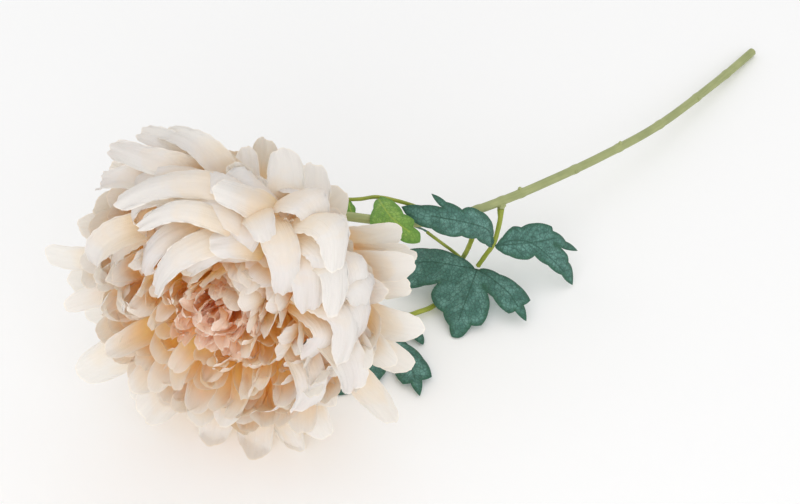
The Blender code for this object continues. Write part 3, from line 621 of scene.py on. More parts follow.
def arching_petals():
    """Each petal of the table, one that lies a little under it, and shorter ones over its root."""
    petals = []
    for i, (first, second, tip, width, cup) in enumerate(ARCHING_PETALS):
        points = [polar(math.radians(turn), reach, height)
                  for turn, reach, height in ((first[0], *ARCH_ROOT), first, second, tip)]
        petals.append(arching_petal(SEEDS["arching"] + i, points, width, cup))
        hand = 1 if i % 2 else -1
        under = moved(points, math.radians(10 * hand), 0.94, -6)
        petals.append(arching_petal(SEEDS["under"] + i, under, width, cup))
        spine = spine_through(points)[0]
        for layer, (tip_at, aside, over, seed) in enumerate(SHINGLES if 0 < i < DOME else ()):
            end = tip_at + 0.05 * wobble(i, 51 + layer)
            cover = [points[0]] + [on_spine(spine, u) for u in (0.5 * end, 0.75 * end, end)]
            cover = moved(cover, math.radians(aside * hand + 3 * wobble(i, 61 + layer)), 1.0, 0)
            outward = unit(cover[3] - DOME_MIDDLE)
            cover = [cover[0]] + [q + outward * over * x for q, x in zip(cover[1:], (0.6, 0.8, 1.0))]
            petals.append(arching_petal(seed + i, cover, 15 + 2 * wobble(i, 71 + layer), 0.5, 0.35))
    return petals


def heart_florets():
    """The small crumpled florets of the heart, which twist every way."""
    petals = []
    for i in range(HEART_FLORETS):
        k = (i + 0.5) / HEART_FLORETS
        root, reach, height, leave, arrive = (
            start + more * k + vary * wobble(i, channel) for start, more, vary, channel in HEART_PROFILE)
        petals.append(standing_petal(
            SEEDS["heart"] + i, 0.2, i * GOLDEN_TURN + 0.4 * wobble(i, 21), (root, HEART_ROOT_HEIGHT),
            (reach, height), (leave, arrive), TEASING, width=11.5 + 2.5 * wobble(i, 25), cup=0.9,
            claw=0.5, crumple=1.2, crinkle=0.5, ruffle=2.2))
    return petals


# In the next three, s is how far along the petal a point lies, from 0 to 1, and t how far across
# it, from -1 to 1


def petal_end(petal, t):
    """How far along the petal ends: it is rounded, sometimes notched, and finely waved."""
    seed, chord = petal["seed"], petal["chord"]
    round_tip = min(0.5, petal["width"] * (1 - petal["taper"]) * ROUNDNESS / chord)
    end = 1 - round_tip * (1 - np.sqrt(np.clip(1 - np.abs(t) ** petal["squareness"], 0, 1)))
    end = end - petal["notch"] * np.exp(-((t - 0.3 * math.sin(seed)) / 0.15) ** 2) / chord
    return end + sum(high * np.sin(often * t + turn * seed) for high, often, turn in END_WAVES) / chord


def petal_relief(petal, s, t, half, cup):
    """How far the petal rises from flat: its cup, its ruffled edge, its creases and its curl."""
    seed, chord = petal["seed"], petal["chord"]
    edge = petal["phase"] * np.where(t > 0, 1, 1.7) + np.where(t > 0, 2.1, 0)
    reach = np.abs(t)
    curling = np.clip((s - CURL_START) / (1 - CURL_START), 0, 1) ** 2
    crinkling = np.clip((s - END_CRINKLE_START) / (1 - END_CRINKLE_START), 0, 1) ** 2
    lift = half / cup * (1 - np.cos(cup * t))
    lift = lift + petal["ruffle"] * reach ** 1.5 * s * np.sin(petal["waves"] * s * 2 * math.pi + edge)
    lift = lift + petal["crinkle"] * reach ** 3 * s * np.sin(chord * s * 1.2 + 2.3 * edge)
    lift = lift + petal["crinkle"] * crinkling * np.sin(8 * t + 2 * seed)
    lift = lift + petal["crumple"] * s * np.sin(5 * s + 2.6 * t + seed) * np.sin(3.1 * t + 1.7 * seed)
    lift = lift + petal["fold"] * reach * s * s * half
    return lift + petal["tip_curl"] * curling * chord * (1 - CURL_START)


def petal_grid(petal, rows, columns):
    """Points of the petal's middle surface, from root to tip and from edge to edge."""
    seed, chord, side = petal["seed"], petal["chord"], petal["side"]
    t = np.linspace(-1, 1, columns)[None, :]
    t = 0.6 * t + 0.4 * np.sin(t * math.pi / 2)
    s = np.linspace(0, 1, rows)[:, None] * petal_end(petal, t)
    u = s[..., None]
    a, b, c, d = petal["spine"]
    along = unit((1 - u) * (1 - u) * (b - a) + 2 * (1 - u) * u * (c - b) + u * u * (d - c))
    across = unit(side - along * (along @ side)[..., None])
    inward = np.cross(along, across)
    roll = (petal["roll"] + petal["twist"] * s)[..., None]
    level = across * np.cos(roll) + inward * np.sin(roll)
    facing = inward * np.cos(roll) - across * np.sin(roll)
    half = 0.5 * petal["width"] * (petal["claw"] + (1 - petal["claw"]) * ease(s / CLAW_END))
    half = half * (1 - petal["taper"] * ease((s - TAPER_START) / 0.5))
    half = half + s * sum(high * np.sin(often * s + turn * seed + skew * t)
                          for high, often, turn, skew in SIDE_WAVES)
    cup = petal["cup"] * (1.25 - 0.35 * s)
    sideways = half / cup * np.sin(cup * t) + petal["bend"] * s * s * chord
    lift = petal_relief(petal, s, t, half, cup)
    middle = on_spine(petal["spine"], u)
    point = bloom_to_world(middle + level * sideways[..., None] + facing * lift[..., None])
    sunk = np.clip(FLOOR_CLEARANCE - point[..., 2:], 0, None)
    return point + np.array([0, -SPLAY, 1]) * sunk


def petal_marks(petal, rows, columns):
    """Marks of a petal's points.

    Cloth: place on the cloth in mm, and the seed. Dye: how far along its dyed part, paled, which
    also places painted shade where petals overlap; place in the bloom; and mm from the cut edge.
    """
    s = np.linspace(0, 1, rows)[:, None] + np.zeros((1, columns))
    t = np.linspace(-1, 1, columns)[None, :] + np.zeros((rows, 1))
    cloth = np.stack([0.5 * petal["width"] * t, petal["chord"] * s, 0 * s + 10 * petal["seed"]], axis=-1)
    to_edge = np.minimum(0.5 * petal["width"] * (1 - np.abs(t)), petal["chord"] * (1 - s))
    # Painted shade in part: the hidden root keeps the warm tone, and petals on the lower side keep more of
    # it
    dyed = (s - petal["hidden"]) / (1 - petal["hidden"]) * petal["paleness"]
    dye = np.stack([dyed, 0 * s + petal["k"], to_edge], axis=-1)
    return {"cloth": cloth.reshape(-1, 3), "dye": dye.reshape(-1, 3)}


def petal_sheet(petal, grid):
    """A petal as one thin sheet of cloth."""
    return petal_grid(petal, *grid).reshape(-1, 3), grid_faces(*grid), petal_marks(petal, *grid)


def mark_depths(groups):
    """Marks how many mm each point of the bloom lies below its outer surface, for painted shade."""
    middle = bloom_to_world(BLOOM_MIDDLE)
    every = np.concatenate([points for parts in groups for points, _, _ in parts]) - middle
    turns = np.arange(FEELERS) * GOLDEN_TURN
    rises = 1 - (2 * np.arange(FEELERS) + 1) / FEELERS
    level = np.sqrt(1 - rises ** 2)
    feelers = np.stack([level * np.cos(turns), level * np.sin(turns), rises], axis=-1)
    reach = np.linalg.norm(every, axis=1)
    nearest = np.argmax(every @ feelers.T, axis=1)
    surface = np.array([np.percentile(reach[nearest == i], PASSED) if (nearest == i).any() else BARE_REACH
                        for i in range(FEELERS)])
    for parts in groups:
        for points, _, marks in parts:
            away = points - middle
            far = np.linalg.norm(away, axis=1)
            share = np.exp(SHARPNESS * ((away / far[:, None]) @ feelers.T - 1))
            depth = (share @ surface) / share.sum(axis=1) - far
            marks["depth"] = np.column_stack([depth, depth, depth])


def core_marks(grid):
    """The core has the dye of a petal's root and no cut edge near."""
    flat = grid.reshape(-1, 3)
    return {"cloth": flat, "dye": np.tile([0.12, 0.2, 9.0], (len(flat), 1))}


def make_bloom():
    """All petals, the core that holds them and the heart."""
    face = [petal_sheet(petal, FACE_GRID) for petal in fill_petals()]
    middle, face = face[:FILL // 2], face[FILL // 2:]
    face.append(turned(CORE_PROFILE, CORE_SIDES, core_marks))
    guard = [petal_sheet(petal, OUTER_GRID) for petal in guard_petals()]
    arching = [petal_sheet(petal, OUTER_GRID) for petal in arching_petals()]
    florets = [petal_sheet(petal, FLORET_GRID) for petal in heart_florets()]
    mark_depths((middle, face, guard, arching, florets))
    petals = {"middle_petals": middle, "face_petals": face, "guard_petals": guard, "arching_petals": arching}
    for name, parts in petals.items():
        add_piece(name, parts, PETAL_SILK, ["petals"])
    add_piece("heart_florets", florets, HEART_SILK, ["heart"])


# Calyx, stem and petioles


def cup_marks(grid):
    """The moulded cup is one tone, without the tint of the sepals' tips."""
    flat = np.zeros((grid.shape[0] * grid.shape[1], 3))
    flat[:, 0] = 0.1
    return {"run": flat, "dye": flat}


def make_calyx():
    """The cup under the petals, with its pointed sepals."""
    parts = [turned(CALYX_PROFILE, CALYX_SIDES, cup_marks)]
    for i in range(SEPALS):
        azimuth = FIRST_SEPAL + i * 2 * math.pi / SEPALS
        tip = (SEPAL_TIP[0] + 3 * wobble(i, 32), SEPAL_TIP[1] + 2 * wobble(i, 33))
        sepal = standing_petal(
            SEEDS["sepal"] + i, 1.0, azimuth, SEPAL_ROOT, tip, SEPAL_ANGLES, side=across_at(azimuth),
            width=SEPAL_WIDTH, cup=0.4, claw=0.7, ruffle=0.4, tip_curl=0, squareness=1.2)
        marks = petal_marks(sepal, *SEPAL_GRID)
        marks["run"] = marks.pop("cloth")
        parts.append(shell(petal_grid(sepal, *SEPAL_GRID), SEPAL_THICKNESS, marks))
    add_piece("calyx_cup", parts, CALYX_PLASTIC, ["calyx"])


def stem_point(x):
    """The point of the stem's centre line at a distance along X."""
    line = np.array(smooth_line(STEM_POINTS, LOOKUP_STEP))
    return row_at(x, line[:, 0], line)


def make_stem():
    """The stem with its nodes, the pegs of the petioles and the scars of plucked buds."""
    line = np.array(smooth_line(STEM_POINTS, STEM_STEP))
    radii = np.full(len(line), STEM_RADIUS)
    for place in STEM_NODES:
        for more, past, wide in NODE_SHAPE:
            radii += more * np.exp(-((line[:, 0] - place - past) / wide) ** 2)
    parts = [sweep(line, radii, sides=32, ridges=9, ridge_height=0.018)]
    for place, route, radius in PETIOLES.values():
        start = stem_point(place)
        way = unit(np.array(route[0]) - start)
        steps = np.linspace(0, PEG_LENGTH, 10)
        flare = PEG_FLARE * np.exp(-((steps - STEM_RADIUS) / PEG_FLARE_RUN) ** 2) * (steps > STEM_RADIUS - 1)
        parts.append(sweep(start + steps[:, None] * way, radius + PEG_COLLAR + flare, seed=place))
    for place, way in BUD_SCARS:
        start = stem_point(place)
        steps = np.linspace(0, STEM_RADIUS + SCAR_HEIGHT, 10)
        rounded = SCAR_RADIUS * np.sqrt(np.clip(1 - (steps / steps[-1]) ** 6, 0.02, 1))
        parts.append(sweep(start + steps[:, None] * unit(np.array(way)), rounded, seed=place))
    add_piece("stem_rod", parts, STEM_PLASTIC, ["stem"], crease=60)


def make_petioles():
    """The stalks of the sprigs, thicker where they are pushed over their peg."""
    for name, (place, route, radius) in PETIOLES.items():
        start = stem_point(place)
        first = start + unit(np.array(route[0]) - start) * (PEG_LENGTH + PEG_GAP)
        line = np.array(smooth_line([first] + route, PETIOLE_STEP))
        run = np.arange(len(line)) * PETIOLE_STEP
        radii = radius * (0.9 + 0.45 * np.exp(-run / 3.0)) * (1 + 0.03 * np.sin(run * 0.9))
        parts = [sweep(line, radii, sides=20, ridges=5, ridge_height=0.05)]
        if name == TWIG_ON:
            line = np.array(smooth_line(TWIG[0], PETIOLE_STEP))
            parts.append(sweep(line, np.full(len(line), TWIG[1]), sides=16, seed=1.0))
        add_piece(name + "_rod", parts, PETIOLE_PLASTIC, [name])


# Leaves


def bowed(points, bow, step):
    """A closed outline with each side bowed outwards, so that lobes are round between sharp tips."""
    outline = []
    for a, b in zip(points, points[1:] + points[:1]):
        run = b - a
        length = np.linalg.norm(run)
        out = np.array([run[1], -run[0]]) / length
        count = max(1, round(length / step))
        for x in np.arange(count) / count:
            outline.append(a + run * x + out * bow * length * 4 * x * (1 - x))
    return np.array(outline)


def distance(points, lines):
    """Distance from each point to the nearest of some lines, each given by its points."""
    starts = np.concatenate([line[:-1] for line in lines])
    run = np.concatenate([line[1:] for line in lines]) - starts
    to = points[:, None, :] - starts[None]
    part_way = np.clip((to * run).sum(-1) / (run * run).sum(-1), 0, 1)
    return np.linalg.norm(to - part_way[..., None] * run, axis=-1).min(axis=1)


def inside(points, outline):
    """Whether each point lies inside the closed outline."""
    x, y = points[:, 0], points[:, 1]
    found = np.zeros(len(points), bool)
    for (ax, ay), (bx, by) in zip(outline, np.roll(outline, -1, axis=0)):
        crosses = (ay > y) != (by > y)
        with np.errstate(divide="ignore", invalid="ignore"):
            found ^= crosses & (x < (bx - ax) * (y - ay) / (by - ay) + ax)
    return found


def side_veins(ribs, outline, closed):
    """Curved veins that leave each rib on both sides and end short of the edge."""
    veins = []
    for rib in ribs:
        run = run_along(rib)
        for at in np.arange(VEIN_SPACING * 0.8, run[-1], VEIN_SPACING):
            place = row_at(at, run, rib)
            ahead = row_at(at + 1, run, rib) - place
            if np.linalg.norm(ahead) < 0.1:
                continue
            for hand in (-1, 1):
                line = [place]
                for step in range(VEIN_LENGTH):
                    angle = math.atan2(ahead[1], ahead[0]) + hand * (VEIN_ANGLE - VEIN_BEND * step)
                    line.append(line[-1] + np.array([math.cos(angle), math.sin(angle)]))
                line = np.array(line)
                well_in = inside(line, outline) & (distance(line, [closed]) > VEIN_MARGIN)
                keep = int(np.argmin(well_in[1:])) + 1 if not well_in[1:].all() else len(line)
                if keep > 3:
                    veins.append(line[:keep])
    return veins


def groove(distances, depth, width):
    """How far the blade has risen out of a groove, at some distances from its middle."""
    return depth * np.minimum(1, distances / width)


def leaf_outline(corners, size):
    """The flat outline of a blade with its foot, bowed between its corners."""
    edge = [np.array(p, float) * size for p in corners]
    half_foot = math.copysign(LEAF_FOOT, edge[0][0] - edge[-1][0])
    edge = [np.array([half_foot, 0.0])] + edge + [np.array([-half_foot, 0.0])]
    if sum(a[0] * b[1] - b[0] * a[1] for a, b in zip(edge, edge[1:] + edge[:1])) < 0:
        edge.reverse()
    return bowed(edge, LOBE_BOW, EDGE_STEP)


def filled(outline, closed):
    """Points in rows within the flat outline, and the triangles between them."""
    low, high = outline.min(0), outline.max(0)
    x, y = np.meshgrid(np.arange(low[0], high[0], LEAF_GRAIN), np.arange(low[1], high[1], ROW_SPACING))
    x[1::2] += LEAF_GRAIN / 2
    grid = np.stack([x.ravel(), y.ravel()], axis=-1)
    grid = grid[inside(grid, outline)]
    grid = grid[distance(grid, [closed]) > 0.45 * LEAF_GRAIN]
    rim = range(len(outline))
    loop = [(i, (i + 1) % len(outline)) for i in rim]
    points, _, faces, *_ = delaunay_2d_cdt(
        [Vector(p) for p in outline] + [Vector(p) for p in grid], loop, [list(rim)], 1, 0.001)
    return np.array([list(p) for p in points]), [list(face) for face in faces]


def leaf_parts(foot, tip, facing, shape, size, arch, seed):
    """A thin closed blade.

    Marks: place in mm and seed; how near the edge, a rib and a vein are; and which face it is.
    """
    foot, tip, facing = (np.array(v, float) for v in (foot, tip, facing))
    along = unit(tip - foot)
    up = unit(facing - along * (facing @ along))
    aside = np.cross(along, up)
    length = max(np.linalg.norm(np.array(p) * size) for p in shape[0])
    ribs = [np.array(smooth_line([(0, 0)] + rib, 1.5)) * size for rib in shape[1]]
    outline = leaf_outline(shape[0], size)
    closed = np.concatenate([outline, outline[:1]])
    flat, faces = filled(outline, closed)
    total = len(flat)
    veins = side_veins(ribs, outline, closed)
    to_edge = distance(flat, [closed])
    to_rib = distance(flat, ribs)
    to_vein = distance(flat, veins) if veins else np.full(total, NO_VEIN)
    out = np.minimum(1, np.linalg.norm(flat, axis=1) / length)
    height = arch * 3.2 * out * (1 - out) - FOLD * np.minimum(FOLD_REACH, to_rib) * np.minimum(1, out * 4)
    height += groove(to_rib, *RIB_GROOVE) + groove(to_vein, *VEIN_GROOVE) * np.minimum(1, to_edge / 2)
    height += 0.5 * np.sin(flat[:, 0] * 0.35 + seed) * np.sin(flat[:, 1] * 0.31 + 2 * seed) * out
    middle = foot + flat[:, 1:] * along + flat[:, :1] * aside + height[:, None] * up
    middle[:, 2] = np.maximum(middle[:, 2], LEAF_THICKNESS / 2 + LEAF_CLEARANCE)
    under = LEAF_THICKNESS / 2 + RIB_RIDGE[0] * np.exp(-(to_rib / RIB_RIDGE[1]) ** 2)
    edges = [pair for face in faces for pair in zip(face, face[1:] + face[:1])]
    shared = set(edges)
    shell_faces = faces + [[i + total for i in face[::-1]] for face in faces]
    shell_faces += [[b, a, a + total, b + total] for a, b in edges if (b, a) not in shared]
    place = np.column_stack([flat, np.full(total, float(seed))])
    lines = np.column_stack([to_edge, to_rib, to_vein])
    return (np.concatenate([middle + up * LEAF_THICKNESS / 2, middle - up * under[:, None]]), shell_faces,
            {"cloth": np.concatenate([place, place]), "near": np.concatenate([lines, lines]),
             "face": np.repeat([[1.0] * 3, [0.0] * 3], total, axis=0)})


def make_leaves():
    """The eight leaves; those of the third sprig are young and yellower."""
    for i, (name, values) in enumerate(LEAVES.items()):
        young = name.startswith("leaf_c")
        material = YOUNG_LEAF_FABRIC if young else LEAF_FABRIC
        add_piece(name + "_blade", [leaf_parts(*values, seed=i + 1)], material, [name])


# Materials

# A wave texture of scale 1 repeats after this many units
WAVE = 0.314
# Patterns of the petals' cloth, in mm. Its threads, about 0.35 mm apart, are too fine to show, so
# they are drawn coarser
PETAL_BLOTCH, PETAL_STREAK, PETAL_CREASE, PETAL_PLEAT, PETAL_THREAD = 9, 1.6, 2.4, 1.9, 0.9
# Patterns of the leaves, in mm: print, ragged margin, net of veins, and threads drawn coarser
LEAF_PATCH, LEAF_MARGIN, LEAF_NET, LEAF_THREAD = 5, 2.2, 1.9, 0.9
STEM_MOTTLE, CALYX_MOTTLE = 14, 3
# Patterns that were pressed or drawn lengthwise are stretched
PRESSED = (1.0, 0.06, 1.0)
DRAWN = (0.08, 1.0, 1.0)
SMOOTH = {"interpolation_type": "SMOOTHSTEP"}
COLOURS = {"data_type": "RGBA"}
SUM = {"operation": "ADD"}
SCALED_SUM = {"operation": "MULTIPLY_ADD"}


def linear(colour):
    """An sRGB hex colour as the linear RGBA that Blender's sockets take."""
    parts = [int(colour[i:i + 2], 16) / 255 for i in (1, 3, 5)]
    return (*(c / 12.92 if c <= 0.04045 else ((c + 0.055) / 1.055) ** 2.4 for c in parts), 1)


def node(tree, kind, settings=None, inputs=()):
    """Adds a shader node with its settings, then sets its inputs or links them to other nodes.

    Inputs are given by name or number, or as a list in the node's own order. One that is a node
    takes that node's first output.
    """
    made = tree.nodes.new("ShaderNode" + kind)
    for key, value in (settings or {}).items():
        if key == "stops":
            stops = made.color_ramp.elements
            while len(stops) < len(value):
                stops.new(0.5)
            for stop, (position, colour) in zip(stops, value):
                stop.position = position
                stop.color = linear(colour)
        else:
            setattr(made, key, value)
    for key, value in inputs.items() if isinstance(inputs, dict) else enumerate(inputs):
        if isinstance(value, bpy.types.Node):
            value = value.outputs[0]
        if isinstance(value, bpy.types.NodeSocket):
            tree.links.new(value, made.inputs[key])
        else:
            made.inputs[key].default_value = value
    return made


def new_material(name, *marks):
    """An empty material, its tree of nodes, and a vector for each mark of the mesh that it reads."""
    material = bpy.data.materials.new(name)
    material.use_nodes = True
    tree = material.node_tree
    tree.nodes.clear()
    return material, tree, [
        node(tree, "Attribute", {"attribute_name": mark}).outputs["Vector"] for mark in marks]


def petal_silk(name, outer, inner):
    """Heat-formed woven polyester, dyed from a warm root to a pale tip.

    It is matt and lets light through, and deeper in the bloom its tone is painted towards the warm
    root's, a painted shade that makes the depths glow; the weave and the pressed creases break up the
    surface, and the cut edges are paler, partly as a painted highlight.
    """
    material, tree, (cloth, dye, depth) = new_material(name, "cloth", "dye", "depth")
    dye = node(tree, "SeparateXYZ", inputs=[dye]).outputs
    depth = node(tree, "SeparateXYZ", inputs=[depth])
    deep = node(tree, "MapRange", SMOOTH, [depth, -3.0, 22.0])
    stretched = node(tree, "Mapping", inputs={"Vector": cloth, "Scale": PRESSED})
    blotches = node(tree, "TexNoise", inputs={"Vector": cloth, "Scale": 1 / PETAL_BLOTCH, "Detail": 2.0})
    streaks = node(tree, "TexNoise", inputs={"Vector": stretched, "Scale": 1 / PETAL_STREAK, "Detail": 3.0})
    creases = node(tree, "TexNoise", inputs={"Vector": stretched, "Scale": 1 / PETAL_CREASE, "Detail": 2.0})
    shift = node(tree, "Math", SCALED_SUM, [blotches, 0.30, -0.10])
    along = node(tree, "Math", SUM, [dye["X"], shift])
    # Painted shade: the deeper a point lies in the bloom, the further its tone moves towards the root's warm
    # one
    along = node(tree, "Math", SCALED_SUM, [deep, -0.48, along])
    tone_inner, tone_outer = (node(tree, "ValToRGB", {"stops": stops}, [along]) for stops in (inner, outer))
    # Petals near the heart take creamier tones, partly as painted warm shade there
    place = node(tree, "MapRange", SMOOTH, [dye["Y"], 0.0, 0.65])
    tone = node(tree, "Mix", COLOURS, {0: place, 6: tone_inner, 7: tone_outer})
    # Paler cut edge: partly the frayed cloth, partly a painted highlight along the rim; deeper in the bloom
    # it turns warmer, as painted shade
    rim = node(tree, "MapRange", SMOOTH, [dye["Z"], 0.1, 1.0, 0.65, 0.0])
    frayed_and_highlit_edge = node(tree, "Mix", COLOURS, {0: deep, 6: linear("#FDF9F4"), 7: linear("#FFF4E2")})
    tone = node(tree, "Mix", COLOURS, {0: rim, 6: tone.outputs[2], 7: frayed_and_highlit_edge.outputs[2]})
    streak = node(tree, "MapRange", inputs=[streaks, 0.35, 0.7, 0.985, 1.01])
    tone = node(tree, "VectorMath", {"operation": "SCALE"}, {0: tone.outputs[2], "Scale": streak})
    # Light that comes through has met more of the dye than light that is thrown back
    shine = node(tree, "VectorMath", {"operation": "MULTIPLY"}, [tone, linear("#FFF4D8")[:3]])
    warp, weft = (
        node(tree, "TexWave", {"wave_type": "BANDS", "bands_direction": way},
             {"Vector": cloth, "Scale": WAVE / PETAL_THREAD, "Distortion": 0.6}).outputs[1] for way in "XY")
    weave = node(tree, "Math", SUM, [warp, weft])
    pleats = node(tree, "TexWave", {"wave_type": "BANDS", "bands_direction": "X"}, {
        "Vector": cloth, "Scale": WAVE / PETAL_PLEAT, "Distortion": 1.5, "Detail": 1.0, "Detail Scale": 0.3})
    relief = node(tree, "Math", SCALED_SUM, [weave, 0.04, creases])
    relief = node(tree, "Math", SCALED_SUM, [pleats.outputs[1], 0.10, relief])
    bump = node(tree, "Bump", inputs={"Height": relief, "Strength": 0.5, "Distance": 1.0 * MM})
    cloth_shader = node(tree, "BsdfPrincipled", inputs={
        "Base Color": tone, "Roughness": 0.85, "Specular IOR Level": 0.25,
        "Sheen Weight": 0.2, "Sheen Roughness": 0.5, "Normal": bump})
    through = node(tree, "BsdfTranslucent", inputs={"Color": shine, "Normal": bump})
    sheer = node(tree, "MapRange", inputs=[deep, 0.0, 1.0, 0.28, 0.75])
    mixed = node(tree, "MixShader", inputs=[sheer, cloth_shader, through])
    node(tree, "OutputMaterial", inputs={"Surface": mixed})
    return material


def finish_surface(tree, tone, roughness, relief, strength, depth, others):
    """Ends a material: its relief, some mm deep, its roughness and its other settings."""
    bump = node(tree, "Bump", inputs={"Height": relief, "Strength": strength, "Distance": depth * MM})
    shader = node(tree, "BsdfPrincipled", inputs={
        "Base Color": tone, "Roughness": roughness, "Normal": bump, **others})
    node(tree, "OutputMaterial", inputs={"Surface": shader})


def pressed_leaf(name, middle, patch, margin, vein, rib):
    """Polyester cloth with a printed blade pattern, starched and pressed over a mould.

    The blade is matt, with paler patches, darker at its margin, and a fine net of dark veins
    runs between the ribs.
    """
    material, tree, (cloth, lines, face) = new_material(name, "cloth", "near", "face")
    lines = node(tree, "SeparateXYZ", inputs=[lines]).outputs
    face = node(tree, "SeparateXYZ", inputs=[face])
    patches, ragged, threads = (
        node(tree, "TexNoise", inputs={"Vector": cloth, "Scale": 1 / spacing, "Detail": detail})
        for spacing, detail in ((LEAF_PATCH, 4.0), (LEAF_MARGIN, 2.0), (LEAF_THREAD, 1.0)))
    patches = node(tree, "MapRange", inputs=[patches, 0.42, 0.62])
    border = node(tree, "Math", SCALED_SUM, [ragged, -3.0, lines["X"]])
    border = node(tree, "MapRange", SMOOTH, [border, -1.4, 1.6, 1.0, 0.0])
    net = node(tree, "TexVoronoi", {"feature": "DISTANCE_TO_EDGE"}, {"Vector": cloth, "Scale": 1 / LEAF_NET})
    net = node(tree, "MapRange", inputs=[net, 0.02, 0.14, 0.55, 0.0])
    veins = node(tree, "MapRange", SMOOTH, [lines["Z"], 0.08, 0.42, 0.5, 0.0])
    ribs = node(tree, "MapRange", SMOOTH, [lines["Y"], 0.2, 0.6, 0.75, 0.0])
    backs = node(tree, "MapRange", inputs=[face, 0.0, 1.0, 0.45, 0.0])
    tone = linear(middle)
    for share, colour in ((patches, patch), (border, margin), (net, vein), (veins, vein), (ribs, rib),
                          (backs, patch)):
        tone = node(tree, "Mix", COLOURS, {0: share, 6: tone, 7: linear(colour)}).outputs[2]
    relief = node(tree, "Math", SUM, [threads, net])
    roughness = node(tree, "MapRange", inputs=[patches, 0.0, 1.0, 0.62, 0.75])
    finish_surface(tree, tone, roughness, relief, strength=0.5, depth=0.5, others={
        "Specular IOR Level": 0.35, "Sheen Weight": 0.1, "Sheen Roughness": 0.5})
    return material


def moulded_plastic(name, pale, deep, streak_width, gloss):
    """Soft polyethylene moulded over wire: satin, with fine lengthwise streaks and mottling."""
    material, tree, (run,) = new_material(name, "run")
    drawn = node(tree, "Mapping", inputs={"Vector": run, "Scale": DRAWN})
    streaks = node(tree, "TexNoise", inputs={"Vector": drawn, "Scale": 1 / streak_width, "Detail": 3.0})
    mottle = node(tree, "TexNoise", inputs={"Vector": run, "Scale": 1 / STEM_MOTTLE, "Detail": 2.0})
    both = node(tree, "Math", SCALED_SUM, [streaks, 0.6, mottle])
    share = node(tree, "MapRange", inputs=[both, 0.62, 1.0])
    tone = node(tree, "Mix", COLOURS, {0: share, 6: linear(deep), 7: linear(pale)})
    roughness = node(tree, "MapRange", inputs=[streaks, 0.0, 1.0, gloss - 0.08, gloss + 0.1])
    finish_surface(tree, tone.outputs[2], roughness, streaks, strength=0.4, depth=0.3, others={"IOR": 1.5})
    return material


def calyx_plastic(name, stops):
    """Moulded polyethylene, olive green and tinted brown at the tips of the sepals."""
    material, tree, (run, dye) = new_material(name, "run", "dye")
    dye = node(tree, "SeparateXYZ", inputs=[dye])
    mottle = node(tree, "TexNoise", inputs={"Vector": run, "Scale": 1 / CALYX_MOTTLE, "Detail": 3.0})
    along = node(tree, "Math", SCALED_SUM, [mottle, 0.3, dye])
    tone = node(tree, "ValToRGB", {"stops": stops}, [along])
    finish_surface(tree, tone, 0.5, mottle, strength=0.3, depth=0.4, others={"IOR": 1.5})
    return material


# Cream petals that are peach at the root, and florets that stay peach and pink to the tip. Each
# has the dyes at the rim of the bloom first, then those near the heart, whose creamier tips are
# partly painted warm shade
PETAL_SILK = petal_silk(
    "petal_woven_polyester",
    [(0.00, "#FFF6BE"), (0.25, "#FDEDC3"), (0.56, "#F5E6D0"), (0.90, "#EFEEEE")],
    [(0.00, "#FFF7BC"), (0.30, "#FEEFBE"), (0.62, "#F7E6C9"), (0.94, "#F6F0E9")])
HEART_SILK = petal_silk(
    "heart_woven_polyester",
    [(0.00, "#FFECAE"), (0.35, "#FFE4BA"), (0.75, "#F3DECD")],
    [(0.00, "#FFE9AB"), (0.35, "#FFE1B6"), (0.75, "#F3DBCA")])
# Leaves: blade, patches, margin, veins and ribs
LEAF_FABRIC = pressed_leaf("leaf_pressed_polyester", "#467468", "#66958A", "#35634F", "#2A4C40", "#2B5344")
YOUNG_LEAF_FABRIC = pressed_leaf(
    "young_leaf_pressed_polyester", "#7AA648", "#93B75A", "#66943E", "#5C863A", "#A0B850")
# Stem and petioles: pale and deep tone, width of the streaks in mm, and middle roughness
STEM_PLASTIC = moulded_plastic("stem_moulded_polyethylene", "#A8AE76", "#949C66", 1.1, 0.5)
PETIOLE_PLASTIC = moulded_plastic("petiole_moulded_polyethylene", "#A9B040", "#7F8E2E", 0.9, 0.42)
CALYX_PLASTIC = calyx_plastic(
    "calyx_moulded_polyethylene",
    [(0.0, "#8A9A3E"), (0.55, "#66752F"), (0.85, "#5B4A28"), (1.0, "#8B4A36")])


# Floor, light and camera

# Half the floor's side, in metres
FLOOR_REACH = 6.0
WORLD_LIGHT = 0.88
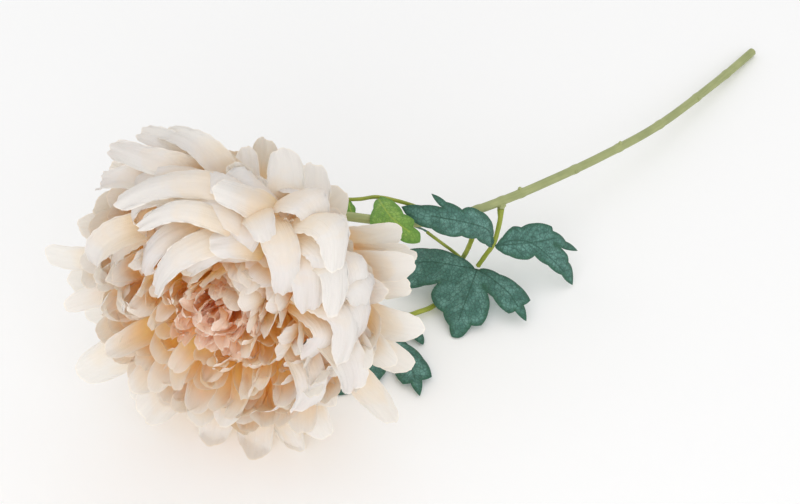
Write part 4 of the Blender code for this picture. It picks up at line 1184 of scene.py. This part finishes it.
# Softboxes: place, the point that they look at and size, in mm, and power in watts
SOFTBOXES = {
    "key": ((560, -1100, 850), (-80, -100, 60), 700, 1.1),
    "fill": ((-250, -1200, 450), (-80, -100, 60), 900, 3.6),
    "top": ((100, 300, 1400), (-60, -60, 60), 900, 0.6),
}
# Light finds its way through many pale petals before it leaves the bloom
BOUNCES = 24


def make_stage():
    """A plain pale floor."""
    mesh = bpy.data.meshes.new("floor")
    corners = [(x * FLOOR_REACH, y * FLOOR_REACH, 0) for x, y in ((-1, -1), (1, -1), (1, 1), (-1, 1))]
    mesh.from_pydata(corners, [], [(0, 1, 2, 3)])
    material, tree, _ = new_material("floor_paper")
    shader = node(tree, "BsdfPrincipled", inputs={
        "Base Color": linear("#FDFDFD"), "Roughness": 0.9, "Specular IOR Level": 0.2})
    node(tree, "OutputMaterial", inputs={"Surface": shader})
    mesh.materials.append(material)
    placed("floor", mesh)


def make_lights():
    """A bright room and three softboxes."""
    world = bpy.data.worlds.new("studio")
    world.use_nodes = True
    background = world.node_tree.nodes["Background"].inputs
    background["Color"].default_value = (1, 1, 1, 1)
    background["Strength"].default_value = WORLD_LIGHT
    bpy.context.scene.world = world
    for name, (place, target, size, power) in SOFTBOXES.items():
        lamp = bpy.data.lights.new(name, "AREA")
        lamp.size = size * MM
        lamp.energy = power
        softbox = placed(name, lamp)
        softbox.location = Vector(place) * MM
        softbox.rotation_euler = (Vector(target) - Vector(place)).to_track_quat("-Z", "Y").to_euler()


def make_camera():
    """The camera at the photograph's place and angle."""
    camera = placed("camera", bpy.data.cameras.new("camera"))
    camera.data.lens = LENS
    camera.data.sensor_width = SENSOR
    camera.location = (CAMERA_PLACE - CENTRE) * MM
    camera.rotation_euler = (CAMERA_TILT, 0, 0)
    bpy.context.scene.camera = camera


make_stage()
make_lights()
make_camera()
make_bloom()
make_calyx()
make_stem()
make_petioles()
make_leaves()
bpy.context.scene.view_settings.view_transform = "Standard"
bpy.context.scene.cycles.max_bounces = BOUNCES
bpy.context.scene.cycles.diffuse_bounces = BOUNCES
bpy.context.scene.cycles.transmission_bounces = BOUNCES
